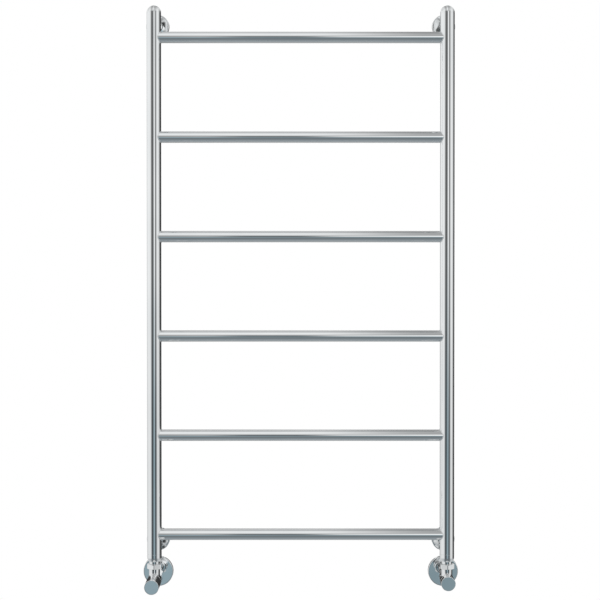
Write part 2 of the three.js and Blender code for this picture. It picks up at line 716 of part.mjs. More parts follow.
/** The pieces that both valves share, from the wall to the headwork. */
function valve(name, x, nutTurn) {
  const group = new THREE.Group();
  group.position.set(x, -STAND_OFF, 0);
  group.rotation.z = Math.PI;
  const wallRose = rose(VALVE_ROSE_DIAMETER, VALVE_ROSE_DEPTH, PIPE_DIAMETER);
  place(group, `${name}_supply_pipe`, supplyPipe(), 'copper');
  place(group, `${name}_wall_rose`, wallRose, 'chrome').position.y = -STAND_OFF;
  place(group, `${name}_compression_nut`, compressionNut(), 'chrome');
  place(group, `${name}_olive`, olive(), 'brass');
  place(group, `${name}_body`, valveBody(), 'chrome');
  place(group, `${name}_union_nut`, unionNut(nutTurn), 'chrome');
  place(group, `${name}_tail`, unionTail(), 'chrome');
  place(group, `${name}_bonnet`, bonnet(), 'brass');
  place(group, `${name}_spindle_seal`, spindleSeal(), 'rubber');
  place(group, `${name}_plug`, plug(), 'brass');
  return group;
}

function controlValve() {
  const group = valve('control', -uprightX, CONTROL_NUT_TURN);
  const hubBack = HEAD_BACK + KNOB_SKIRT_DEPTH;
  const screwFrom = SPINDLE_DIAMETER / 2 + JOINT_GAP;
  const screwTo = HEAD_DIAMETER / 2 - JOINT_GAP;
  place(group, 'control_spindle', spindle(hubBack + KNOB_SPINDLE_DEPTH), 'brass');
  place(group, 'control_knob', controlKnob(), 'chrome');
  place(group, 'control_knob_screw', setScrew(KNOB_SCREW_DIAMETER, screwFrom, screwTo), 'stainless')
    .position.y = hubBack + KNOB_SCREW_INSET;
  return group;
}

function lockshieldValve() {
  const group = valve('lockshield', uprightX, LOCKSHIELD_NUT_TURN);
  const front = bonnetFront + SLOT_DEPTH / 2;
  const slot = new THREE.BoxGeometry(SPINDLE_DIAMETER * 2, SLOT_DEPTH * 2, SLOT_WIDTH).translate(0, front, 0);
  place(group, 'lockshield_spindle', cut(spindle(front), slot), 'brass');
  place(group, 'lockshield_cap', lockshieldCap(), 'chrome');
  return group;
}

// ---- Assembly -----------------------------------------------------------------------------------
const towelWarmer = new THREE.Group();
towelWarmer.name = 'towel_warmer';
towelWarmer.add(ladder(), airVent(), brackets(), controlValve(), lockshieldValve());

export default towelWarmer;
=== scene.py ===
"""Looks of a plumbed ladder towel warmer: uprights, rungs, wall brackets, air vent and two angle valves.

Sizes are millimetres in the classes and metres in the meshes. X runs along the rungs, Z is up, and the wall
is the plane y = 0 with the room on its -Y side. Each piece is a mesh in the frame's own place, with its
object at the origin.
"""

import logging
import math
from collections.abc import Callable, Iterable, Sequence
from dataclasses import dataclass
from enum import Enum
from typing import NamedTuple

import bmesh
import bpy
from mathutils import Matrix, Vector

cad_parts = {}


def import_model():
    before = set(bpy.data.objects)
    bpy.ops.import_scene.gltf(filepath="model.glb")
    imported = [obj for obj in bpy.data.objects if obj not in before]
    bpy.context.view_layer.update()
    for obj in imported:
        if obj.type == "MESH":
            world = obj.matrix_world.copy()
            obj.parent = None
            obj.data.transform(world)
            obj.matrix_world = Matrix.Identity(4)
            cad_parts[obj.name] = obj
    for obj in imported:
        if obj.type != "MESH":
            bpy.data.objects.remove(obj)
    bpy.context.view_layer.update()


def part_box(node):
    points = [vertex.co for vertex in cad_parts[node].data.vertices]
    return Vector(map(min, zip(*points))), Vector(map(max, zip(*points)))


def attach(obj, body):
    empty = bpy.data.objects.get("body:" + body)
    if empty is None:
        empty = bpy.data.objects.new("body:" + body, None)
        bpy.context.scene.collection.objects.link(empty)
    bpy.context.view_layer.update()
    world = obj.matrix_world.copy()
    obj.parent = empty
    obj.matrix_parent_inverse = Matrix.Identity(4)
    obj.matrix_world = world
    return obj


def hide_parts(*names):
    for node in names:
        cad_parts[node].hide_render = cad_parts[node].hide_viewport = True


log = logging.getLogger("towel_warmer")

MM = 0.001
ROUND_SEGMENTS = 96
SMALL_SEGMENTS = 48
SHARP_EDGE = math.radians(33)
MERGE_DISTANCE = 1e-7
POLE_RADIUS = 1e-6

NUT_CHAMFER = math.tan(math.radians(30))
NUT_FACE_SHARE = 0.95
NUT_CORNER_SHARE = 0.985
# Between pieces that meet, in a running fit, between faces that stay apart, and along broken edges.
SEAM = 0.05
FIT = 0.25
GAP = 0.3
EASE = 0.4

Piece = bpy.types.Object
Socket = bpy.types.NodeSocket
Along = float | Callable[[float, float], float]
Point = tuple[float, Along] | tuple[float, Along, float]
Range = tuple[float, float]
Colour = tuple[float, float, float]
Spot = tuple[float, float, float]


class Facing(Enum):
    """Which way a turned piece's axis points in the frame, as the turn that takes +Z there."""

    UP = Matrix.Identity(4)
    DOWN = Matrix.Rotation(math.pi, 4, "X")
    OUTWARD = Matrix.Rotation(math.pi / 2, 4, "X")
    WALLWARD = Matrix.Rotation(-math.pi / 2, 4, "X")
    LEFTWARD = Matrix.Rotation(-math.pi / 2, 4, "Y")
    RIGHTWARD = Matrix.Rotation(math.pi / 2, 4, "Y")

    def at(self, x: float, y: float, z: float) -> Matrix:
        """Placement of a piece whose own origin is at this point, in millimetres."""
        return Matrix.Translation(Vector((x, y, z)) * MM) @ self.value


class Side(Enum):
    """Side of the towel warmer, as seen from the room."""

    LEFT = -1
    RIGHT = 1

    @property
    def word(self) -> str:
        """The side in the names of pieces."""
        return self.name.lower()


class Joining(Enum):
    """What a second solid does to the first."""

    CUT = "DIFFERENCE"
    ADD = "UNION"


class Grain(Enum):
    """Direction of the faint lines that drawing and polishing leave, as pattern scales along X, Y and Z."""

    ALONG_X = (4.0, 900.0, 900.0)
    ALONG_Y = (700.0, 5.0, 700.0)
    ALONG_Z = (900.0, 900.0, 4.0)
    EVEN = (160.0, 160.0, 160.0)


class Slot(Enum):
    """Finish slots of the record."""

    TUBE = "polished_tube"
    FITTINGS = "polished_fittings"
    ZINC = "zinc_steel"
    STAINLESS = "stainless_fixings"
    BRASS = "brass"
    RUBBER = "rubber"


# ---- Meshes ----


class Ring(NamedTuple):
    """One ring of points about a piece's axis.

    `along` is a height, or a surface that the ring lies on. With `sides`, `radius` is half the width across
    the flats and the corners are turned down a little, as on a bar nut.
    """

    radius: float
    along: Along
    sides: int = 0

    def reach(self, angle: float) -> float:
        """Distance from the axis at an angle counted from a corner."""
        if not self.sides:
            return self.radius
        half = math.pi / self.sides
        off = half - abs((angle + half) % (2 * half) - half)
        return min(self.radius / math.cos(off), self.radius / math.cos(half) * NUT_CORNER_SHARE)

    def point(self, angle: float, start: float) -> Vector:
        """Point of the ring, in millimetres, with `start` the heading of a corner."""
        reach = self.reach(angle)
        x, y = reach * math.cos(angle + start), reach * math.sin(angle + start)
        return Vector((x, y, self.along(x, y) if callable(self.along) else self.along))


class Corner(NamedTuple):
    """Corner of a turned outline, with the radius that rounds it."""

    radius: float
    along: float
    fillet: float = 0.0


def softened(outline: Sequence[Point], closed: bool) -> list[Point]:
    """Rounds an outline's corners, with a holding ring beside each round so that flat faces stay flat.

    Args:
        outline: Radius, height and rounding of each corner, in order.
        closed: Whether its last corner joins its first.

    Returns:
        The rings to turn.
    """
    longest_trim, hold_share, size_share, degrees_a_step = 0.45, 0.04, 0.6, 15
    corners = [Corner(*given) for given in outline]
    places = [Vector(corner[:2]) for corner in corners]
    rings: list[Point] = []
    last = len(corners) - 1
    for index, (corner, here) in enumerate(zip(corners, places)):
        if corner.fillet <= 0 or (not closed and index in (0, last)):
            rings.append(tuple(here))
            continue
        back = places[index - 1] - here
        ahead = places[(index + 1) % len(places)] - here
        half = back.angle(ahead) / 2
        shorter = min(back.length, ahead.length)
        trim = min(corner.fillet / math.tan(half), longest_trim * shorter)
        size = trim * math.tan(half)
        hold = min(hold_share * shorter, size_share * size)
        back.normalize()
        ahead.normalize()
        centre = here + (back + ahead).normalized() * (size / math.sin(half))
        first, final = here + back * trim - centre, here + ahead * trim - centre
        steps = max(3, math.ceil(math.degrees(math.pi - 2 * half) / degrees_a_step))
        rings.append(tuple(here + back * (trim + hold)))
        rings += [tuple(centre + first.slerp(final, step / steps) * size) for step in range(steps + 1)]
        rings.append(tuple(here + ahead * (trim + hold)))
    return rings


def hexagon(flats: float, low: float, high: float) -> list[Point]:
    """Outside of a chamfered hexagon from one end face to the other.

    Args:
        flats: Width across the flats.
        low: Where it starts along its axis.
        high: Where it ends.

    Returns:
        Four rings: a round face edge, the two crowned edges of the flats, and the other face edge.
    """
    face = flats / 2 * NUT_FACE_SHARE

    def crown(end: float, sign: int) -> Callable[[float, float], float]:
        """Cone that the chamfer lies on."""
        return lambda x, y: end + sign * (math.hypot(x, y) - face) * NUT_CHAMFER

    return [(face, low), (flats / 2, crown(low, 1), 6), (flats / 2, crown(high, -1), 6), (face, high)]


def grooves(
    first: float, second: float, start: float, pitch: float, turns: int, share: float = 0.5
) -> list[Point]:
    """Round grooves that stand for a thread.

    Args:
        first: Radius where each turn starts.
        second: Radius a little further on.
        start: Height of the first turn.
        pitch: Height of a turn.
        turns: How many turns.
        share: How far up the turn the second radius lies.

    Returns:
        Two rings for each turn.
    """
    heights = [start + pitch * turn for turn in range(turns)]
    return [ring for low in heights for ring in ((first, low), (second, low + share * pitch))]


def arc(radius: float, centre: float, first: float, last: float, steps: int) -> list[Point]:
    """Rings along an arc that is centred on the axis, between two angles above its centre in radians."""
    angles = [first + (last - first) * step / steps for step in range(steps + 1)]
    return [(radius * math.cos(angle), centre + radius * math.sin(angle)) for angle in angles]


def set_screw(radius: float, low: float, high: float) -> list[Point]:
    """Socket set screw with thread grooves, its socket at the far end.

    Args:
        radius: Outside of the thread.
        low: Point end.
        high: Socket end.

    Returns:
        The rings from the point to the bottom of the socket.
    """
    point, root_depth, coarsest = 0.6, 0.35, 0.8
    length = high - low - 1
    turns = max(2, int(length / coarsest))
    pitch = length / turns
    rings = [(0, low), (radius - 0.9, low), (radius - 0.3, low + point)]
    rings += grooves(radius, radius - root_depth, low + point + 0.35 * pitch, pitch, turns, 0.55)
    return rings + [(radius - 0.2, high), (1.25, high, 6), (1.2, high - 1.6, 6), (0, high - 1.9)]


def as_piece(name: str, shape: bmesh.types.BMesh) -> Piece:
    """Welds a shape, turns its faces outwards and gives it an object."""
    bmesh.ops.remove_doubles(shape, verts=shape.verts, dist=MERGE_DISTANCE)
    bmesh.ops.recalc_face_normals(shape, faces=shape.faces)
    mesh = bpy.data.meshes.new(name)
    shape.to_mesh(mesh)
    shape.free()
    piece = bpy.data.objects.new(name, mesh)
    bpy.context.scene.collection.objects.link(piece)
    return piece


def ring_piece(
    name: str,
    rings: Sequence[Point],
    placement: Matrix,
    closed: bool = False,
    segments: int = ROUND_SEGMENTS,
    start: float = 0.0,
) -> Piece:
    """Joins rings, one to the next, into a closed solid.

    Args:
        name: Name of the piece.
        rings: Radius, height and number of sides of each ring, in order; one of no radius is a pole.
        placement: Where the piece goes in the frame.
        closed: Whether the last ring joins the first, as round a bore.
        segments: Points in each ring.
        start: Heading of a hexagon's corner, in degrees.

    Returns:
        The piece, at the origin with its place in its mesh.
    """
    shape = bmesh.new()
    loops: list[list[bmesh.types.BMVert]] = []
    for ring in (Ring(*given) for given in rings):
        count = 1 if ring.radius < POLE_RADIUS else segments
        points = [ring.point(2 * math.pi * i / segments, math.radians(start)) for i in range(count)]
        loops.append([shape.verts.new(placement @ (point * MM)) for point in points])
    for low, high in zip(loops, loops[1:] + loops[:1] if closed else loops[1:]):
        for i in range(segments):
            j = (i + 1) % segments
            quad = [low[i % len(low)], low[j % len(low)], high[j % len(high)], high[i % len(high)]]
            shape.faces.new(list(dict.fromkeys(quad)))
    return as_piece(name, shape)


def turned(
    name: str,
    outline: Sequence[Point],
    placement: Matrix,
    closed: bool = False,
    segments: int = ROUND_SEGMENTS,
) -> Piece:
    """Turned piece with rounded corners."""
    return ring_piece(name, softened(outline, closed), placement, closed, segments)


def cylinder(radius: float, low: float, high: float, placement: Matrix) -> Piece:
    """Plain tool for cutting a bore."""
    rings = [(0, low), (radius, low), (radius, high), (0, high)]
    return ring_piece("tool", rings, placement, segments=SMALL_SEGMENTS)


def solidified(piece: Piece) -> None:
    """Swaps a piece's modifiers for the mesh that they make."""
    graph = bpy.context.evaluated_depsgraph_get()
    mesh = bpy.data.meshes.new_from_object(piece.evaluated_get(graph))
    piece.modifiers.clear()
    piece.data = mesh


def combine(piece: Piece, tools: Iterable[Piece], joining: Joining = Joining.CUT) -> None:
    """Cuts closed solids from a piece, or adds them to it, and throws them away."""
    for tool in tools:
        modifier = piece.modifiers.new("joining", "BOOLEAN")
        modifier.operation = joining.value
        modifier.solver = "EXACT"
        modifier.object = tool
        solidified(piece)
        bpy.data.objects.remove(tool)


# ---- Nodes ----


class Wiring:
    """Short ways to add nodes to one tree."""

    def __init__(self, tree: bpy.types.NodeTree, family: str) -> None:
        """Takes the tree and the family that its nodes' types start with."""
        self.tree = tree
        self.family = family

    def node(
        self, kind: str, inputs: dict[str | int, object] | None = None, **settings: str
    ) -> bpy.types.Node:
        """Adds a node.

        Args:
            kind: The node's type, without the family where it starts so.
            inputs: Links, lists of links or plain values for its inputs, by name or index.
            **settings: Properties such as operation or mode.

        Returns:
            The node.
        """
        node = self.tree.nodes.new(kind if "Node" in kind else self.family + kind)
        for key, setting in settings.items():
            setattr(node, key, setting)
        for key, given in (inputs or {}).items():
            for one in given if isinstance(given, list) else [given]:
                if isinstance(one, Socket):
                    self.tree.links.new(one, node.inputs[key])
                else:
                    node.inputs[key].default_value = one
        return node

    def maths(self, operation: str, a: object, b: object = 0.0) -> Socket:
        """One step of arithmetic."""
        return self.node("ShaderNodeMath", {0: a, 1: b}, operation=operation).outputs[0]


# ---- Finishes ----


@dataclass(frozen=True)
class Finish:
    """A surface finish, made of even noise patterns on object coordinates."""

    name: str
    slot: Slot
    light: Colour
    dark: Colour
    roughness: Range
    cloud: float
    metallic: float = 1.0
    grain: Grain = Grain.EVEN
    grain_depth: float = 0.00002
    ripple: float = 9.0
    ripple_depth: float = 0.0
    cloud_range: Range = (0.3, 0.7)
    smudge_range: Range = (0.35, 0.72)
    smudge_scale: float = 4.3

    def material(self) -> bpy.types.Material:
        """Builds the node material, once for each name."""
        found = bpy.data.materials.get(self.name)
        if found:
            return found
        made = bpy.data.materials.new(self.name)
        made.use_nodes = True
        wires = Wiring(made.node_tree, "ShaderNode")
        place = wires.node("TexCoord").outputs["Object"]
        tone = wires.node("ValToRGB", {"Fac": self.noise(wires, place, self.cloud, 4.0)})
        shades = zip(tone.color_ramp.elements, self.cloud_range, (self.dark, self.light))
        for element, position, colour in shades:
            element.position = position
            element.color = (*colour, 1)
        smudge = self.noise(wires, place, self.cloud * self.smudge_scale, 5.0)
        limits = zip(("From Min", "From Max", "To Min", "To Max"), self.smudge_range + self.roughness)
        gloss = wires.node("MapRange", {"Value": smudge, **dict(limits)})
        stretch = wires.node("Mapping", {"Vector": place, "Scale": self.grain.value})
        lines = self.noise(wires, stretch.outputs["Vector"], 1.0, 2.0)
        surface = self.bump(wires, {"Height": lines, "Distance": self.grain_depth})
        if self.ripple_depth:
            wave = self.noise(wires, place, self.ripple, 1.0)
            surface = self.bump(wires, {"Height": wave, "Distance": self.ripple_depth, "Normal": surface})
        shader = made.node_tree.nodes["Principled BSDF"]
        shader.inputs["Metallic"].default_value = self.metallic
        made.node_tree.links.new(tone.outputs["Color"], shader.inputs["Base Color"])
        made.node_tree.links.new(gloss.outputs["Result"], shader.inputs["Roughness"])
        made.node_tree.links.new(surface, shader.inputs["Normal"])
        return made

    def noise(self, wires: Wiring, place: Socket, scale: float, detail: float) -> Socket:
        """Noise pattern."""
        return wires.node("TexNoise", {"Vector": place, "Scale": scale, "Detail": detail}).outputs["Fac"]

    def bump(self, wires: Wiring, inputs: dict[str | int, object]) -> Socket:
        """Bump at full strength, whose Distance is a real depth in metres."""
        return wires.node("Bump", {"Strength": 1.0, **inputs}).outputs["Normal"]


CHROME_LIGHT = (0.90, 0.905, 0.905)
CHROME_DARK = (0.85, 0.862, 0.866)
TUBE_GLOSS = (0.012, 0.032)
UPRIGHT_CHROME = Finish(
    "upright_chrome", Slot.TUBE, CHROME_LIGHT, CHROME_DARK, TUBE_GLOSS, 11.0,
    grain=Grain.ALONG_Z, grain_depth=0.0000001, ripple=12.0, ripple_depth=0.00002,
)
RUNG_CHROME = Finish(
    "rung_chrome", Slot.TUBE, CHROME_LIGHT, CHROME_DARK, TUBE_GLOSS, 11.0,
    grain=Grain.ALONG_X, grain_depth=0.0000001, ripple=12.0, ripple_depth=0.00002,
)
FITTING_CHROME = Finish(
    "fitting_chrome", Slot.FITTINGS, CHROME_LIGHT, CHROME_DARK, (0.03, 0.075), 45.0,
    grain_depth=0.0000015, ripple=60.0, ripple_depth=0.00001,
)
PRESSED_CHROME = Finish(
    "pressed_rose_chrome", Slot.FITTINGS, CHROME_LIGHT, CHROME_DARK, (0.03, 0.08), 35.0,
    grain_depth=0.0000015, ripple=48.0, ripple_depth=0.000015,
)
ZINC_PLATE = Finish(
    "zinc_plate", Slot.ZINC, (0.68, 0.69, 0.68), (0.52, 0.54, 0.55), (0.32, 0.52), 130.0, grain_depth=0.00001
)
TURNED_STAINLESS = Finish(
    "turned_stainless", Slot.STAINLESS, (0.66, 0.66, 0.65), (0.55, 0.55, 0.55), (0.22, 0.36), 220.0,
    grain_depth=0.000006,
)
MACHINED_BRASS = Finish(
    "machined_brass", Slot.BRASS, (0.83, 0.64, 0.30), (0.70, 0.50, 0.20), (0.2, 0.36), 90.0,
    grain=Grain.ALONG_Y, grain_depth=0.000008,
)
SEAL_RUBBER = Finish(
    "seal_rubber", Slot.RUBBER, (0.035, 0.035, 0.036), (0.02, 0.02, 0.021), (0.62, 0.82), 300.0,
    metallic=0.0, grain_depth=0.00001,
)
FLOOR_PAINT = Finish(
    "floor_paint", Slot.RUBBER, (0.82, 0.82, 0.81), (0.78, 0.78, 0.775), (0.55, 0.7), 3.0,
    metallic=0.0, grain_depth=0.00005,
)


def dress(piece: Piece, finish: Finish, body: str, stands_for: Sequence[str]) -> None:
    """Finishes a piece, parents it to the body that it rides on and hides the nodes that it stands for.

    Args:
        piece: The finished mesh's object.
        finish: Its finish.
        body: Name of the body that it moves with.
        stands_for: Nodes of the frame that it replaces.
    """
    mesh = piece.data
    mesh.materials.clear()
    mesh.materials.append(finish.material())
    mesh.polygons.foreach_set("material_index", [0] * len(mesh.polygons))
    mesh.shade_smooth()
    mesh.set_sharp_from_angle(angle=SHARP_EDGE)
    mesh.update()
    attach(piece, body)
    if stands_for:
        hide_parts(*stands_for)
    log.info("%s: %d faces on %s", piece.name, len(mesh.polygons), body)


# ---- Geometry Nodes ----


class Tree(Wiring):
    """One Geometry Nodes tree with named inputs, run on a piece and turned back into a plain mesh."""

    def __init__(self, name: str, inputs: dict[str, str]) -> None:
        """Starts a tree that takes and gives geometry.

        Args:
            name: Name of the tree.
            inputs: Kind of each named input, such as Float, Int or Vector.
        """
        super().__init__(bpy.data.node_groups.new(name, "GeometryNodeTree"), "GeometryNode")
        face = self.tree.interface
        face.new_socket("Geometry", in_out="INPUT", socket_type="NodeSocketGeometry")
        face.new_socket("Geometry", in_out="OUTPUT", socket_type="NodeSocketGeometry")
        self.identifiers: dict[str, str] = {}
        for key, kind in {**inputs, "Finish": "Material"}.items():
            socket = face.new_socket(key, in_out="INPUT", socket_type=f"NodeSocket{kind}")
            self.identifiers[key] = socket.identifier
        self.source = self.node("NodeGroupInput").outputs

    def circle(self, points: int, radius: str) -> Socket:
        """Round curve whose radius is one of the tree's inputs."""
        sizes = {"Resolution": points, "Radius": self.source[radius]}
        return self.node("CurvePrimitiveCircle", sizes).outputs[0]

    def close(self, geometry: Socket) -> None:
        """Ends the tree: instances become mesh, and the finish is set."""
        realised = self.node("RealizeInstances", {"Geometry": geometry})
        finish = self.source["Finish"]
        dressed = self.node("SetMaterial", {"Geometry": realised.outputs[0], "Material": finish})
        self.node("NodeGroupOutput", {0: dressed.outputs[0]})

    def run(self, piece: Piece, finish: Finish, values: dict[str, object]) -> None:
        """Runs the tree on a piece, and leaves the result as its plain mesh.

        Args:
            piece: The object whose mesh goes in.
            finish: Its finish.
            values: A value for each other named input.
        """
        modifier = piece.modifiers.new(self.tree.name, "NODES")
        modifier.node_group = self.tree
        for key, given in {**values, "Finish": finish.material()}.items():
            modifier[self.identifiers[key]] = given
        piece.update_tag()
        solidified(piece)


class RowsTree(Tree):
    """Repeats the incoming piece in even steps across and up."""

    def __init__(self) -> None:
        """Builds the tree."""
        kinds = {"Across Count": "Int", "Across Step": "Vector", "Up Count": "Int", "Up Step": "Vector"}
        super().__init__("even_rows", kinds)
        grid = self.node("InstanceOnPoints", {"Points": self.row("Across"), "Instance": self.row("Up")})
        points = self.node("RealizeInstances", {"Geometry": grid.outputs[0]}).outputs[0]
        copies = self.node("InstanceOnPoints", {"Points": points, "Instance": self.source["Geometry"]})
        self.close(copies.outputs[0])

    def row(self, way: str) -> Socket:
        """Evenly stepped points, starting at the origin."""
        count, step = self.source[f"{way} Count"], self.source[f"{way} Step"]
        return self.node("MeshLine", {"Count": count, "Offset": step}).outputs[0]

    def repeat(self, piece: Piece, finish: Finish, across: tuple[int, float], up: tuple[int, float]) -> None:
        """Repeats a piece by a count and a step in millimetres, across and up."""
        values = {"Across Count": across[0], "Across Step": (across[1] * MM, 0.0, 0.0)}
        self.run(piece, finish, {**values, "Up Count": up[0], "Up Step": (0.0, 0.0, up[1] * MM)})


class ThreadTree(Tree):
    """Winds a ridge round the incoming core, along +Z."""

    def __init__(self) -> None:
        """Builds the tree."""
        kinds = {"Radius": "Float", "Turns": "Float", "Length": "Float", "Foot": "Vector", "Ridge": "Float"}
        super().__init__("screw_thread", kinds)
        winding = {"Resolution": 24, "Rotations": self.source["Turns"], "Height": self.source["Length"]}
        radius = self.source["Radius"]
        helix = self.node("CurveSpiral", {**winding, "Start Radius": radius, "End Radius": radius})
        upright = self.node("SetCurveNormal", {"Curve": helix.outputs[0]}, mode="Z_UP").outputs[0]
        section = self.circle(4, "Ridge")
        ridge = self.node("CurveToMesh", {"Curve": upright, "Profile Curve": section, "Fill Caps": True})
        raised = self.node("Transform", {"Geometry": ridge.outputs[0], "Translation": self.source["Foot"]})
        both = self.node("JoinGeometry", {"Geometry": [self.source["Geometry"], raised.outputs[0]]})
        self.close(both.outputs[0])


class SaddleBeadTree(Tree):
    """Weld bead that follows the line where a round bar meets a round upright, at both ends of each bar."""

    def __init__(self) -> None:
        """Builds the tree."""
        kinds = {"Bar Radius": "Float", "Upright Radius": "Float", "Half Span": "Float", "Bead": "Float"}
        super().__init__("saddle_weld_beads", {**kinds, "First": "Vector", "Count": "Int", "Step": "Vector"})
        circle = self.circle(96, "Bar Radius")
        flat = self.node("ShaderNodeSeparateXYZ", {0: self.node("InputPosition").outputs[0]}).outputs
        upright_radius = self.source["Upright Radius"]
        radius_squared = self.maths("MULTIPLY", upright_radius, upright_radius)
        offset_squared = self.maths("MULTIPLY", flat[0], flat[0])
        depth = self.maths("SQRT", self.maths("SUBTRACT", radius_squared, offset_squared))
        across = self.maths("SUBTRACT", self.source["Half Span"], depth)
        saddle = self.node("ShaderNodeCombineXYZ", {0: across, 1: flat[0], 2: flat[1]}).outputs[0]
        path = self.node("SetPosition", {"Geometry": circle, "Position": saddle}).outputs[0]
        section = self.circle(10, "Bead")
        bead = self.node("CurveToMesh", {"Curve": path, "Profile Curve": section}).outputs[0]
        facing = self.node("Transform", {"Geometry": bead, "Rotation": (0.0, 0.0, math.pi)}).outputs[0]
        pair = self.node("JoinGeometry", {"Geometry": [bead, facing]}).outputs[0]
        first, count, step = (self.source[key] for key in ("First", "Count", "Step"))
        line = self.node("MeshLine", {"Count": count, "Start Location": first, "Offset": step}).outputs[0]
        self.close(self.node("InstanceOnPoints", {"Points": line, "Instance": pair}).outputs[0])


# ---- Places ----


@dataclass(frozen=True)
class Places:
    """Where the frame has the main pieces, in millimetres."""

    upright_x: float
    stand_off: float
    lowest_rung: float
    rung_pitch: float
    top_dome: float
    foot_top: float
    foot_face: float
    bottom_bracket: float
    top_bracket: float
    vent: float

    @classmethod
    def from_frame(cls) -> "Places":
        """Reads the places from the frame's nodes."""
        upright = cls.middle("upright_right")
        lowest = cls.middle("rung_1").z
        return cls(
            upright_x=upright.x,
            stand_off=-upright.y,
            lowest_rung=lowest,
            rung_pitch=cls.middle("rung_2").z - lowest,
            top_dome=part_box("top_cap_left")[1].z / MM - Ladder.upright_radius,
            foot_top=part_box("bottom_cap_left")[1].z / MM,
            foot_face=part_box("bottom_cap_left")[0].z / MM,
            bottom_bracket=cls.middle("bracket_rose_bottom_left").z,
            top_bracket=cls.middle("bracket_rose_top_left").z,
            vent=cls.middle("vent_boss").z,
        )

    @staticmethod
    def middle(node: str) -> Vector:
        """Middle of a node's box, in millimetres."""
        low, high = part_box(node)
        return (low + high) / 2 / MM

    def on_axis(self, side: Side, height: float, facing: Facing = Facing.UP, out: float = 0.0) -> Matrix:
        """Placement on an upright's axis, or further out into the room."""
        return facing.at(side.value * self.upright_x, -self.stand_off - out, height)

    def on_wall(
        self, side: Side, height: float, facing: Facing = Facing.OUTWARD, out: float = 0.0
    ) -> Matrix:
        """Placement on the wall behind an upright, or further out into the room."""
        return facing.at(side.value * self.upright_x, -out, height)

    def saddle(self, offset: float) -> float:
        """How far an upright's surface and a seam stand from its axis's plane, by offset from the axis."""
        return math.sqrt((Ladder.upright_radius + SEAM) ** 2 - offset**2)


# ---- Ladder ----


